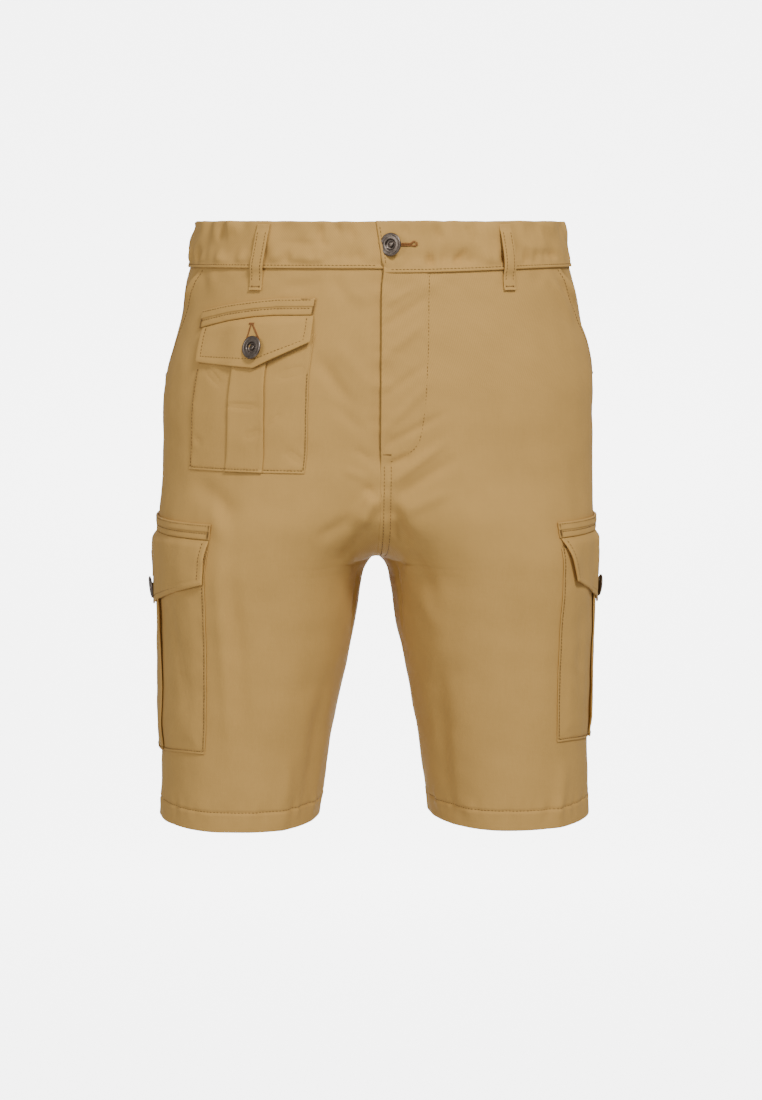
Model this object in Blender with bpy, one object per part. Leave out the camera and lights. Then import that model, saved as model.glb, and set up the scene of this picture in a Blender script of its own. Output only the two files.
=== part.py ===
"""Cargo shorts, filled out as worn: cloth walls around open hollows, with pockets, flaps, loops and buttons.

Sizes are in millimetres until a mesh is made. A place on the cloth is named by the wearer's side (+1 left,
-1 right), by u, the distance along the cloth from the side seam, positive to the front, and by its drop below
the waist's top edge. The front faces -Y, the wearer's left is +X, and the origin is the middle of the waist.
"""
import bmesh
import bpy
import numpy as np
from mathutils import Matrix, Vector

MM = 0.001
LEFT, RIGHT = 1, -1

# Overall sizes: drops of the crotch and the hem, and the height of the waistband
WAISTBAND = 37.0
CROTCH = 291.0
LENGTH = 520.0
HEM = 19.0
LEAN = 3.6                     # the hems hang this much to the wearer's right of the waist

# Cloth
WALL = 1.5
HEM_WALL = 2.6
SEAM = 0.3                     # clear gap between neighbouring pieces
LAYER = 0.8                    # clear gap under a piece that lies on another

# How the legs fork: height of the crotch curve, how soon it closes, its roundness low and high, and the
# squareness of a section
FORK_FRONT, FORK_BACK = 105.0, 150.0
FORK_START = 0.6
SOFT_LOW, SOFT_HIGH = 14.0, 36.0
SQUARE = 2.2

# Half sections: half width at the side, depths to the front and the back, and half the legs' spread at the fork
SECTION_COLUMNS = ("drop", "side", "front", "back", "split")
SECTIONS = np.array((
    (0, 162, 116, 115, 0),
    (38, 167.5, 121, 121, 0),
    (80, 173.5, 125, 129, 0),
    (110, 181.5, 127, 136, 0),
    (140, 187, 128, 141, 0),
    (190, 190, 127, 143, 0),
    (240, 191.5, 123, 137, 0),
    (291, 191.5, 117, 127, 0),
    (302, 191, 116, 124, 2.9),
    (340, 190, 111, 116, 6.8),
    (400, 189, 105, 107, 18),
    (450, 189, 101, 101, 27),
    (490, 190, 98.5, 97, 32.6),
    (520, 191.5, 97, 95, 36.2),
))

# Largest soft folds: wearer's side, place, reach along u and along the drop, rise outwards
FOLD_COLUMNS = ("side", "u", "drop", "reach_u", "reach_drop", "rise")
FOLDS = (
    (LEFT, 2, 115, 48, 34, 4.8),
    (RIGHT, 5, 100, 45, 38, -2.2),
    (RIGHT, 0, 208, 60, 38, -2.4),
    (LEFT, 300, 330, 26, 34, -1.6),
    (RIGHT, 300, 330, 26, 34, -1.6),
    (LEFT, -190, 330, 40, 60, -3.0),
    (RIGHT, -195, 322, 40, 60, -3.0),
)

# Slanted pocket mouths: their reach from the side seam at the waistband, and the drop of their lower end
MOUTH_REACH = 52.0
MOUTH_END = 138.0
FACING_UNDER = 14.0            # how far the facing goes on behind the front panel
FACING_BELOW = 8.0             # and below the mouth's lower end
FACING_DIP, FACING_SLOPE = 8.0, 10.0
FACING_STEP = 0.6              # where it shows, the facing lies this far under the front panel's face

# Seams
INSEAM_FORWARD = 12.0          # the inseam lies this far ahead of the innermost line of the leg
LEFT_SAG = 3.5                 # the buttoned end of the waistband hangs this much lower at the centre
FLY_OVER = 5.5                 # the waistband's upper end passes the centre by this much at the top
UNDERLAP = 36.0                # the waistband's lower end reaches this far past the centre, underneath
SAG_FROM, SAG_OVER = 60.0, 160.0    # the sag starts this far from the side seam and grows over this length
INSEAM_OVER = 60.0             # the inseam comes forward over this length below the crotch

# Waistband and belt loops
BAND_OUT = 0.9
BAND_IN = -1.5
STEP_FROM, STEP_OVER = 26.0, 14.0   # the lower end sinks from this far before the centre, over this length
END_SLANT = 1.06               # how much of the upper end's reach past the centre is lost at its lower edge
LOOP_COLUMNS = ("side", "u_top", "u_bottom")
LOOPS = (
    (RIGHT, 121, 124.5),
    (LEFT, 116.5, 122.5),
    (RIGHT, -112, -113),
    (LEFT, -112, -113),
    (LEFT, -220.5, -229.5),
)
LOOP_WIDTH = 11.5
LOOP_END = 58.0
LOOP_ARCH = 2.4
LOOP_THICK = 1.7
LOOP_RISE, LOOP_FALL = 0.22, 0.3    # shares of a loop's length over which its arch rises and falls
LOOP_PAST = 6.0                # a loop comes down to the panel this far below the waistband's lowest edge
WAIST_BUTTON = (219.0, 17.5)

# Utility pocket on the wearer's right front
UTILITY = {"outer": 79.0, "inner": 191.0, "bottom": 208.0, "strip_outer": 119.0, "strip_inner": 151.0}
UTILITY_BAND_COLUMNS = ("u", "top", "bottom")
UTILITY_BAND = np.array(((71, 75, 88.5), (102, 68, 81.5), (127, 64, 77), (146, 62, 75), (179, 61, 74)))
UTILITY_FLAP_COLUMNS = ("u_top", "u_bottom", "bottom")
UTILITY_FLAP = np.array(((76.5, 80, 117), (138, 139, 121), (180, 184, 98)))
UTILITY_BUTTON = (137.0, 103.5)

# Bellows pockets on the sides of the legs
CARGO_COLUMNS = ("side", "front_top", "front_bottom", "rear_top", "rear_bottom", "flap_corner")
CARGOS = (
    (RIGHT, 117, 105, -94, -88, 115),
    (LEFT, 106, 99, -96, -90, 92),
)
CARGO_TOP, CARGO_SEAM, CARGO_BOTTOM = 250.0, 263.0, 452.0
CARGO_FLAP_CORNER, CARGO_FLAP_POINT = 301.0, 328.0
CARGO_MIDDLE = 12.0
CARGO_PLEAT = 29.0             # half width of the raised middle between the pleats
CARGO_BUTTON = 309.0

# Thicknesses of what is laid on the panels
PATCH_THICK = 1.5
PLEAT_RISE = 1.5
PLEAT_EDGE = 1.5               # a pleat's edge rises over this width
FLAP_THICK = 1.6
FLAP_LIFT = 1.0                # the flap's free edge stands this much further off
FLAP_BELOW = 0.4               # and its top edge starts this much further below the band's gap
FLAP_INSET = 2.0               # a cargo flap's rear corner stands this much inside the pocket's edge

# Metal buttons: turned profile as radius and height above the cloth
BUTTON_RADIUS = 9.8
BUTTON_SEGMENTS = 16
BUTTON_PROFILE = ((4.2, 0.0), (4.2, 1.1), (0.93 * BUTTON_RADIUS, 1.1), (BUTTON_RADIUS, 2.0),
                  (0.93 * BUTTON_RADIUS, 3.2), (0.62 * BUTTON_RADIUS, 3.4), (0.42 * BUTTON_RADIUS, 2.0))

TWILL = ("khaki_twill", (0.49, 0.335, 0.165), 0.8, 0.0)
TWILL_INSIDE = ("khaki_twill_facing", (0.45, 0.305, 0.15), 0.85, 0.0)
METAL = ("aged_metal", (0.12, 0.105, 0.085), 0.38, 0.9)


def smooth(t):
    """A soft step from 0 to 1."""
    t = np.clip(t, 0, 1)
    return t * t * (3 - 2 * t)


# ---------------------------------------------------------------- the form

def section(name, drop):
    """One column of the section table as a smooth curve of the drop."""
    levels, values = SECTIONS[:, 0], SECTIONS[:, SECTION_COLUMNS.index(name)]
    slopes = np.gradient(values, levels)
    i = np.clip(np.searchsorted(levels, drop, side="right") - 1, 0, len(levels) - 2)
    step = levels[i + 1] - levels[i]
    t = (drop - levels[i]) / step
    rise = values[i] + (values[i + 1] - values[i]) * t * t * (3 - 2 * t)
    return rise + step * t * (1 - t) * (slopes[i] * (1 - t) - slopes[i + 1] * t)


def fork(drop, ahead):
    """The half section's middle, its half length across, and how soft it is where it meets the other half."""
    rise = np.clip((CROTCH - drop) / np.where(ahead, FORK_FRONT, FORK_BACK), 0, 1)
    soft = SOFT_LOW + (SOFT_HIGH - SOFT_LOW) * smooth(rise)
    outer = np.hypot(section("side", drop), soft)
    split = np.where(drop > CROTCH, section("split", drop), 0)
    closed = smooth(rise) + FORK_START * rise * (1 - rise) ** 2
    inner = soft + split - closed * (soft + outer)
    return (outer + inner) / 2, (outer - inner) / 2, soft


def outline(angle, drop):
    """The half section's point at an angle from the side, positive to the front."""
    ahead = angle >= 0
    middle, half, soft = fork(drop, ahead)
    c, s = np.cos(angle), np.sin(angle)
    across = middle + half * np.sign(c) * np.abs(c) ** (2 / SQUARE)
    x = np.sqrt(np.maximum(across ** 2 - soft ** 2, 0))
    depth = np.where(ahead, section("front", drop), section("back", drop))
    return x, -depth * np.sign(s) * np.abs(s) ** (2 / SQUARE)


def last_angle(drop, ahead):
    """The angle where the half section reaches the centre line, or the middle of the inner leg."""
    middle, half, soft = fork(drop, ahead)
    ratio = np.clip((soft - middle) / half, -1, 1)
    return np.where(drop >= CROTCH, np.pi, np.arccos(np.sign(ratio) * np.abs(ratio) ** (SQUARE / 2)))


LEVELS = np.arange(-6.0, LENGTH + 7.0)
SHARES = np.linspace(0, 1, 129)


def run_table(ahead):
    """The length of cloth from the side to the centre at each level, and the angle at each share of it."""
    eased = 0.5 - 0.5 * np.cos(np.linspace(0, np.pi, 721))
    last = last_angle(LEVELS, np.full(LEVELS.shape, ahead))
    angle = (1 if ahead else -1) * last[:, None] * eased[None, :]
    x, y = outline(angle, np.broadcast_to(LEVELS[:, None], angle.shape))
    run = np.cumsum(np.hypot(np.diff(x, axis=1, prepend=x[:, :1]), np.diff(y, axis=1, prepend=y[:, :1])), axis=1)
    rows = [np.interp(SHARES * line[-1], line, turn) for line, turn in zip(run, angle)]
    return run[:, -1], np.array(rows)


FRONT_RUN, FRONT_ANGLE = run_table(True)
BACK_RUN, BACK_ANGLE = run_table(False)


def front_run(drop):
    return np.interp(drop, LEVELS, FRONT_RUN)


def back_run(drop):
    return np.interp(drop, LEVELS, BACK_RUN)


def blend_table(table, drop, share):
    """A table over levels and shares, read between its entries."""
    row = drop - LEVELS[0]
    i = np.clip(np.floor(row).astype(int), 0, len(LEVELS) - 2)
    column = share * (len(SHARES) - 1)
    j = np.clip(np.floor(column).astype(int), 0, len(SHARES) - 2)
    a, b = row - i, column - j
    return (1 - a) * ((1 - b) * table[i, j] + b * table[i, j + 1]) \
        + a * ((1 - b) * table[i + 1, j] + b * table[i + 1, j + 1])


def bare(side, u, drop):
    """The cloth's outer face without its folds. Past the centre line u goes on around the other half."""
    side, u, drop = np.broadcast_arrays(np.asarray(side, float), np.asarray(u, float), np.asarray(drop, float))
    front, back = front_run(drop), back_run(drop)
    leg = drop >= CROTCH
    past_front, past_back = u > front, u < -back
    v = np.where(past_front, np.where(leg, u - front - back, 2 * front - u), u)
    v = np.where(past_back, np.where(leg, u + front + back, -2 * back - u), v)
    ahead = v >= 0
    share = np.clip(np.abs(v) / np.where(ahead, front, back), 0, 1)
    angle = np.where(ahead, blend_table(FRONT_ANGLE, drop, share), blend_table(BACK_ANGLE, drop, share))
    x, y = outline(np.where(ahead, np.maximum(angle, 0), np.minimum(angle, -1e-12)), drop)
    x = np.where((past_front | past_back) & ~leg, -x, x)
    return np.stack([side * x - LEAN * drop / LENGTH, y, -drop], axis=-1)


def outward(side, u, drop):
    """The unit direction out of the cloth, from its slopes over 2 mm."""
    along = bare(side, u + 1.0, drop) - bare(side, u - 1.0, drop)
    down = bare(side, u, drop + 1.0) - bare(side, u, drop - 1.0)
    out = np.cross(along, down) * np.asarray(side, float)[..., None]
    return out / np.maximum(np.linalg.norm(out, axis=-1, keepdims=True), 1e-9)


def folds(side, u, drop):
    """The height of the largest soft folds."""
    height = np.zeros(np.shape(u))
    for fold_side, at_u, at_drop, reach_u, reach_drop, rise in FOLDS:
        distance = ((u - at_u) / reach_u) ** 2 + ((drop - at_drop) / reach_drop) ** 2
        height = height + np.where(side == fold_side, rise * np.exp(-distance), 0)
    return height


def form(side, u, drop, out):
    """The point at a height over the cloth's outer face."""
    side, u, drop, out = (np.array(a, float) for a in np.broadcast_arrays(side, u, drop, out))
    return bare(side, u, drop) + outward(side, u, drop) * (out + folds(side, u, drop))[..., None]


# ---------------------------------------------------------------- makers

def material(name, colour, roughness, metallic):
    made = bpy.data.materials.get(name)
    if made is None:
        made = bpy.data.materials.new(name)
        made.use_nodes = True
        shader = made.node_tree.nodes["Principled BSDF"]
        shader.inputs["Base Color"].default_value = (*colour, 1)
        shader.inputs["Roughness"].default_value = roughness
        shader.inputs["Metallic"].default_value = metallic
    return made


def add_object(name, bm, finish, crease=40):
    """One named object from a bmesh, with its own finish."""
    bmesh.ops.recalc_face_normals(bm, faces=bm.faces)
    mesh = bpy.data.meshes.new(name)
    bm.to_mesh(mesh)
    bm.free()
    mesh.shade_smooth()
    mesh.set_sharp_from_angle(angle=np.radians(crease))
    mesh.materials.append(material(*finish))
    made = bpy.data.objects.new(name, mesh)
    bpy.context.scene.collection.objects.link(made)
    return made


def wall(name, side, u, drop, low, high, finish=TWILL, centre=False):
    """A cloth wall between two heights over a grid of places. A panel that meets the centre stays on its side."""
    grids = []
    for out in (high, low):
        points = form(side, u, drop, out)
        if centre:
            plane = LEAN * points[..., 2] / LENGTH
            points[..., 0] = plane + side * np.maximum(side * (points[..., 0] - plane), SEAM / 2)
        grids.append(points * MM)
    rows, columns = grids[0].shape[:2]
    bm = bmesh.new()
    layers = [[[bm.verts.new(p) for p in line] for line in grid] for grid in grids]
    for layer in layers:
        for r in range(rows - 1):
            for c in range(columns - 1):
                bm.faces.new((layer[r][c], layer[r][c + 1], layer[r + 1][c + 1], layer[r + 1][c]))
    rim = [(0, c) for c in range(columns)] + [(r, columns - 1) for r in range(1, rows)]
    rim += [(rows - 1, c) for c in range(columns - 2, -1, -1)] + [(r, 0) for r in range(rows - 2, 0, -1)]
    for (r, c), (r2, c2) in zip(rim, rim[1:] + rim[:1]):
        bm.faces.new((layers[0][r][c], layers[0][r2][c2], layers[1][r2][c2], layers[1][r][c]))
    return add_object(name, bm, finish)


def turned(name, side, u, drop, out):
    """A metal button turned from its profile, standing on the cloth."""
    bm = bmesh.new()
    rings = []
    for radius, height in BUTTON_PROFILE:
        turns = [2 * np.pi * k / BUTTON_SEGMENTS for k in range(BUTTON_SEGMENTS)]
        ring = [(radius * np.cos(t) * MM, radius * np.sin(t) * MM, height * MM) for t in turns]
        rings.append([bm.verts.new(p) for p in ring])
    for lower, upper in zip(rings, rings[1:]):
        for k in range(BUTTON_SEGMENTS):
            after = (k + 1) % BUTTON_SEGMENTS
            bm.faces.new((lower[k], lower[after], upper[after], upper[k]))
    bm.faces.new(rings[0])
    bm.faces.new(rings[-1])
    made = add_object(name, bm, METAL)
    place = [np.array([value], float) for value in (side, u, drop)]
    up = Vector(outward(*place)[0])
    across = Vector((bare(side, place[1] + 1, place[2]) - bare(side, place[1] - 1, place[2]))[0])
    across = (across - up * across.dot(up)).normalized()
    turn = Matrix((across, up.cross(across), up)).transposed().to_4x4()
    made.matrix_world = Matrix.Translation(Vector(form(*place, out)[0] * MM)) @ turn
    return made


# ---------------------------------------------------------------- panels

CROWDING = 0.06                # columns stand closer at the side seam and at the centre, where cloth bends most
EVEN_BETWEEN = (200.0, 340.0)  # drops between which the columns keep an even course past the crotch
END_POWER = 4                  # how late along a row the columns turn to the seam's own course
ROWS_ABOVE, CLOSING_ABOVE = 12, 1.6
ROWS_BELOW, CLOSING_BELOW = 9, 1.25
FRONT_COLUMNS, BACK_COLUMNS = 13, 14


def waist_seam(side, u):
    """The drop of the waistband's lower edge."""
    return WAISTBAND + (LEFT_SAG if side == LEFT else 0) * smooth((u - SAG_FROM) / SAG_OVER)


def panel_rows():
    """Levels as shares: 0 at the waist seam, 1 at the crotch and 2 at the hem, closer near the crotch."""
    above = 1 - np.linspace(1, 0, ROWS_ABOVE) ** CLOSING_ABOVE
    below = 1 + np.linspace(0, 1, ROWS_BELOW)[1:] ** CLOSING_BELOW
    stitched = 2 - np.array([HEM + 1, HEM - 1]) / (LENGTH - CROTCH)
    return np.sort(np.concatenate([above, below[:-2], stitched, below[-1:]]))


def level_of(share, top):
    return np.where(share <= 1, top + share * (CROTCH - top), CROTCH + (share - 1) * (LENGTH - CROTCH))


def inseam_shift(drop):
    return INSEAM_FORWARD * smooth((drop - CROTCH) / INSEAM_OVER)


def mouth_line(drop):
    """How far the pocket's mouth is from the side seam."""
    return MOUTH_REACH * np.clip((MOUTH_END - drop) / (MOUTH_END - WAISTBAND), 0, 1)


def even_run(run, drop):
    """The run of cloth to the centre, without its quick change where the legs part."""
    high, low = EVEN_BETWEEN
    straight = np.interp(drop, EVEN_BETWEEN, run(np.array(EVEN_BETWEEN)))
    return np.where((drop > high) & (drop < low), straight, run(drop))


def panel(name, side, front, columns):
    """A front or back panel from the waist seam to the hem, with the hem turned up inside."""
    share = np.repeat(panel_rows()[:, None], columns + 1, axis=1)
    place = np.linspace(0, 1, columns + 1)
    across = np.repeat((place - CROWDING * np.sin(2 * np.pi * place))[None, :], share.shape[0], axis=0)
    top = np.full(share.shape, WAISTBAND + SEAM)
    for _ in range(3):
        drop = level_of(share, top)
        below = drop >= CROTCH - 1e-6
        gap = np.where(below, SEAM / 2, 0)
        if front:
            outer = mouth_line(drop) + SEAM / 2
            inner = front_run(drop) - np.where(below, inseam_shift(drop), 0) - gap
            even = even_run(front_run, drop)
        else:
            outer = np.full(drop.shape, -SEAM / 2)
            inner = -back_run(drop) - np.where(below, inseam_shift(drop), 0) + gap
            even = -even_run(back_run, drop)
        u = outer + (even - outer) * across + (inner - even) * across ** END_POWER
        top = waist_seam(side, u) + SEAM
    low = np.where(drop > LENGTH - HEM, -HEM_WALL, -WALL)
    wall(name, side, u, drop, low, 0.0, centre=True)


def pocket_facing(name, side):
    """The hip piece behind the slanted mouth, from the side seam to behind the front panel."""
    share = np.repeat(np.linspace(0, 1, 8)[:, None], 7, axis=1)
    across = np.repeat(np.linspace(0, 1, 7)[None, :], 8, axis=0)
    top = WAISTBAND + SEAM
    drop = top + share * (MOUTH_END + FACING_BELOW - top)
    inner = mouth_line(drop) + FACING_UNDER
    u = SEAM / 2 + inner * across
    sunk = WALL + 2 * LAYER
    shown = smooth((mouth_line(drop) - FACING_DIP - u) / FACING_SLOPE)
    high = -sunk + (sunk - FACING_STEP) * shown
    wall(name, side, u, drop, high - WALL, high, TWILL_INSIDE)


# ---------------------------------------------------------------- waist

def waistband():
    """One open strip from its upper end at the centre, round the wearer's left, to the end underneath."""
    left = np.linspace(1, -1, 33)
    right = np.linspace(-1, 1, 33)[1:]
    rows = np.array([0.0, 1.0])
    grids = {"side": [], "u": [], "drop": [], "step": []}
    for part, side in ((left, LEFT), (right, RIGHT)):
        for share in part:
            for row in rows:
                run = front_run(row * WAISTBAND) if share > 0 else back_run(row * WAISTBAND)
                u = share * run
                grids["side"].append(side)
                grids["u"].append(u)
                grids["drop"].append(row * waist_seam(side, u))
                grids["step"].append(smooth((u - run + STEP_FROM) / STEP_OVER) if side == RIGHT else 0.0)
    shaped = {key: np.array(value, float).reshape(-1, len(rows)).T for key, value in grids.items()}
    shaped["u"][:, 0] += FLY_OVER * (1 - END_SLANT * rows)
    end = shaped["u"][:, -1:]
    under = end + np.linspace(0, UNDERLAP, 5)[1:][None, :]
    for key in ("side", "drop", "step"):
        shaped[key] = np.concatenate([shaped[key], np.repeat(shaped[key][:, -1:], 4, axis=1)], axis=1)
    shaped["u"] = np.concatenate([shaped["u"], under], axis=1)
    sunk = shaped["step"] * (BAND_OUT - BAND_IN + SEAM)
    wall("waistband", shaped["side"], shaped["u"], shaped["drop"], BAND_IN - sunk, BAND_OUT - sunk)


def belt_loop(name, side, u_top, u_bottom):
    """A folded strip over the waistband, tacked at both ends, arched between them for the belt."""
    share = np.linspace(0, 1, 10)
    drop = 1.0 + share * (LOOP_END - 1.0)
    lift = BAND_OUT + LAYER + LOOP_ARCH * smooth(share / LOOP_RISE) * smooth((1 - share) / LOOP_FALL)
    lift = np.where(drop > WAISTBAND + LEFT_SAG + LOOP_PAST, np.maximum(lift - BAND_OUT, LAYER), lift)
    middle = u_top + (u_bottom - u_top) * share
    u = middle[:, None] + np.array([-0.5, 0.5])[None, :] * LOOP_WIDTH
    grid = np.repeat(drop[:, None], 2, axis=1)
    low = np.repeat(lift[:, None], 2, axis=1)
    wall(name, side, u, grid, low, low + LOOP_THICK)


# ---------------------------------------------------------------- pockets

def read(table, columns, name, u):
    """A column of a small table at u, by straight lines between its rows."""
    return np.interp(u, table[:, 0], table[:, columns.index(name)])


def utility_top(u):
    """The height of the utility pocket's outer face: its middle strip is a box pleat."""
    outer, inner = UTILITY["strip_outer"], UTILITY["strip_inner"]
    raised = smooth((u - outer) / PLEAT_EDGE) * smooth((inner - u) / PLEAT_EDGE)
    return LAYER + PATCH_THICK + PLEAT_RISE * raised


def utility_pocket():
    """The patch with its pleat, the band over its mouth, the pointed flap and the flap's button."""
    outer, inner, bottom = UTILITY["outer"], UTILITY["inner"], UTILITY["bottom"]
    strip = np.array([UTILITY["strip_outer"], UTILITY["strip_inner"]])
    edges = np.array([strip[0], strip[0] + PLEAT_EDGE, strip[1] - PLEAT_EDGE, strip[1]])
    line = np.concatenate([np.linspace(outer, strip[0], 5)[:-1], edges[:2], np.linspace(*edges[1:3], 4)[1:-1],
                           edges[2:], np.linspace(strip[1], inner, 5)[1:]])
    share = np.linspace(0, 1, 9)[:, None]
    top = read(UTILITY_BAND, UTILITY_BAND_COLUMNS, "bottom", line) + SEAM
    drop = top[None, :] + share * (bottom - top)[None, :]
    u = np.repeat(line[None, :], len(share), axis=0)
    wall("utility_pocket", RIGHT, u, drop, LAYER, utility_top(u))

    line = np.linspace(UTILITY_BAND[0, 0], UTILITY_BAND[-1, 0], 10)
    top = read(UTILITY_BAND, UTILITY_BAND_COLUMNS, "top", line)
    bottom = read(UTILITY_BAND, UTILITY_BAND_COLUMNS, "bottom", line)
    drop = np.stack([top, (top + bottom) / 2, bottom])
    wall("utility_band", RIGHT, np.repeat(line[None, :], 3, axis=0), drop, LAYER, LAYER + 2 * PATCH_THICK)

    low_edge = np.unique(np.concatenate([np.linspace(*UTILITY_FLAP[[0, 1], 1], 6),
                                         np.linspace(*UTILITY_FLAP[[1, 2], 1], 6)]))
    high_edge = np.interp(low_edge, UTILITY_FLAP[:, 1], UTILITY_FLAP[:, 0])
    share = np.linspace(0, 1, 4)[:, None]
    u = high_edge[None, :] + share * (low_edge - high_edge)[None, :]
    top = read(UTILITY_BAND, UTILITY_BAND_COLUMNS, "bottom", high_edge) + SEAM + FLAP_BELOW
    tip = np.interp(low_edge, UTILITY_FLAP[:, 1], UTILITY_FLAP[:, 2])
    drop = top[None, :] + share * (tip - top)[None, :]
    low = LAYER + PATCH_THICK + PLEAT_RISE + LAYER + FLAP_LIFT * share + 0 * u
    wall("utility_flap", RIGHT, u, drop, low, low + FLAP_THICK)
    out = low[0, 0] + FLAP_LIFT + FLAP_THICK + LAYER
    turned("utility_button", RIGHT, *UTILITY_BUTTON, out)


def cargo_line(front, rear, count):
    """Places across a bellows pocket, with one just inside and just outside each pleat."""
    inner, outer = CARGO_MIDDLE - CARGO_PLEAT, CARGO_MIDDLE + CARGO_PLEAT
    raised = np.linspace(inner + PLEAT_EDGE, outer - PLEAT_EDGE, count)
    return np.concatenate([np.linspace(rear, inner, count), raised, np.linspace(outer, front, count)])


def cargo_top(u):
    """The height of a bellows pocket's outer face: its middle stands over the folds of its pleats."""
    raised = smooth((CARGO_PLEAT - np.abs(u - CARGO_MIDDLE)) / PLEAT_EDGE)
    return LAYER + PATCH_THICK + PLEAT_RISE * raised


def cargo_pocket(suffix, side, front_top, front_bottom, rear_top, rear_bottom, flap_corner):
    """A bellows pocket with its band, its pointed flap and the flap's button."""
    share = np.linspace(0, 1, 8)[:, None]
    high_line, low_line = cargo_line(front_top, rear_top, 5), cargo_line(front_bottom, rear_bottom, 5)
    u = high_line[None, :] + share * (low_line - high_line)[None, :]
    drop = CARGO_SEAM + SEAM + share * (CARGO_BOTTOM - CARGO_SEAM) + 0 * u
    wall(f"cargo_pocket_{suffix}", side, u, drop, LAYER, cargo_top(u))

    line = np.linspace(rear_top, front_top, 15)
    u = np.repeat(line[None, :], 3, axis=0)
    drop = np.linspace(CARGO_TOP, CARGO_SEAM, 3)[:, None] + 0 * u
    wall(f"cargo_band_{suffix}", side, u, drop, LAYER, LAYER + 2 * PATCH_THICK)

    high_edge = np.linspace(rear_top, front_top, 17)
    rear_corner = rear_top + FLAP_INSET
    low_edge = np.concatenate([np.linspace(rear_corner, CARGO_MIDDLE, 9),
                               np.linspace(CARGO_MIDDLE, flap_corner, 9)[1:]])
    share = np.linspace(0, 1, 4)[:, None]
    u = high_edge[None, :] + share * (low_edge - high_edge)[None, :]
    corners = (rear_corner, CARGO_MIDDLE, flap_corner)
    tip = np.interp(low_edge, corners, (CARGO_FLAP_CORNER, CARGO_FLAP_POINT, CARGO_FLAP_CORNER))
    top = CARGO_SEAM + SEAM + FLAP_BELOW
    drop = top + share * (tip - top)[None, :]
    low = LAYER + PATCH_THICK + PLEAT_RISE + LAYER + FLAP_LIFT * share + 0 * u
    wall(f"cargo_flap_{suffix}", side, u, drop, low, low + FLAP_THICK)
    out = low[0, 0] + FLAP_LIFT + FLAP_THICK + LAYER
    turned(f"cargo_button_{suffix}", side, CARGO_MIDDLE, CARGO_BUTTON, out)


# ---------------------------------------------------------------- the shorts

def build():
    for old in list(bpy.data.objects):
        bpy.data.objects.remove(old)
    for suffix, side in (("left", LEFT), ("right", RIGHT)):
        panel(f"front_{suffix}", side, True, FRONT_COLUMNS)
        panel(f"back_{suffix}", side, False, BACK_COLUMNS)
        pocket_facing(f"pocket_facing_{suffix}", side)
    waistband()
    for number, row in enumerate(LOOPS, start=1):
        belt_loop(f"belt_loop_{number}", *row)
    turned("waist_button", LEFT, *WAIST_BUTTON, BAND_OUT + LAYER)
    utility_pocket()
    for side, *sizes in CARGOS:
        cargo_pocket("left" if side == LEFT else "right", side, *sizes)


build()
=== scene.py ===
"""Cargo shorts in khaki twill, filled out as worn, with nobody in them.

A place on the cloth is named as in the model: the wearer's side (+1 left, -1 right), u, the distance
along the cloth from the side seam, positive to the front, and the drop below the waist's top edge, in
millimetres.
"""

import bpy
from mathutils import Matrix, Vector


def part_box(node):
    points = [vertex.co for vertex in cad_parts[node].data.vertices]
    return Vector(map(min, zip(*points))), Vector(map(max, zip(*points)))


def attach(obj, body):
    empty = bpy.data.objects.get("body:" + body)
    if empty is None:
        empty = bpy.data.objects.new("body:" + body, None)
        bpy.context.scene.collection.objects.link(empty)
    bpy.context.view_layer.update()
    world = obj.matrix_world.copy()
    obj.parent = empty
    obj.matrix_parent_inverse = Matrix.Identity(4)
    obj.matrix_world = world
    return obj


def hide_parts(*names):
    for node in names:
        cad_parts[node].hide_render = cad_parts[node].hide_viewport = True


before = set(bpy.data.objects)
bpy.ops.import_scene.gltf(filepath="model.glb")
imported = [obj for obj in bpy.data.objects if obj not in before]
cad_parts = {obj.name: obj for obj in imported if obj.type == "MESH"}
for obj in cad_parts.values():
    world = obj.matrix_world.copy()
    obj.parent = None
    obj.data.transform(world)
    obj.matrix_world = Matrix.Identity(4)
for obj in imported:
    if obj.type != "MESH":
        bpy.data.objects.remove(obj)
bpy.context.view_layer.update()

import math

import bpy
import numpy as np
from mathutils import Matrix, Vector

MM = 0.001
LEFT, RIGHT = 1, -1

# ---------------------------------------------------------------- sizes of the form, as in the model

WAISTBAND = 37.0
CROTCH = 291.0
LENGTH = float(round(-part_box("front_left")[0][2] / MM))
LEAN = 3.6
FORK_FRONT, FORK_BACK, FORK_START = 105.0, 150.0, 0.6
SOFT_LOW, SOFT_HIGH = 14.0, 36.0
SQUARE = 2.2
SECTION_COLUMNS = ("drop", "side", "front", "back", "split")
SECTIONS = np.array((
    (0, 162, 116, 115, 0),
    (38, 167.5, 121, 121, 0),
    (80, 173.5, 125, 129, 0),
    (110, 181.5, 127, 136, 0),
    (140, 187, 128, 141, 0),
    (190, 190, 127, 143, 0),
    (240, 191.5, 123, 137, 0),
    (291, 191.5, 117, 127, 0),
    (302, 191, 116, 124, 2.9),
    (340, 190, 111, 116, 6.8),
    (400, 189, 105, 107, 18),
    (450, 189, 101, 101, 27),
    (490, 190, 98.5, 97, 32.6),
    (520, 191.5, 97, 95, 36.2),
))
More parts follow.
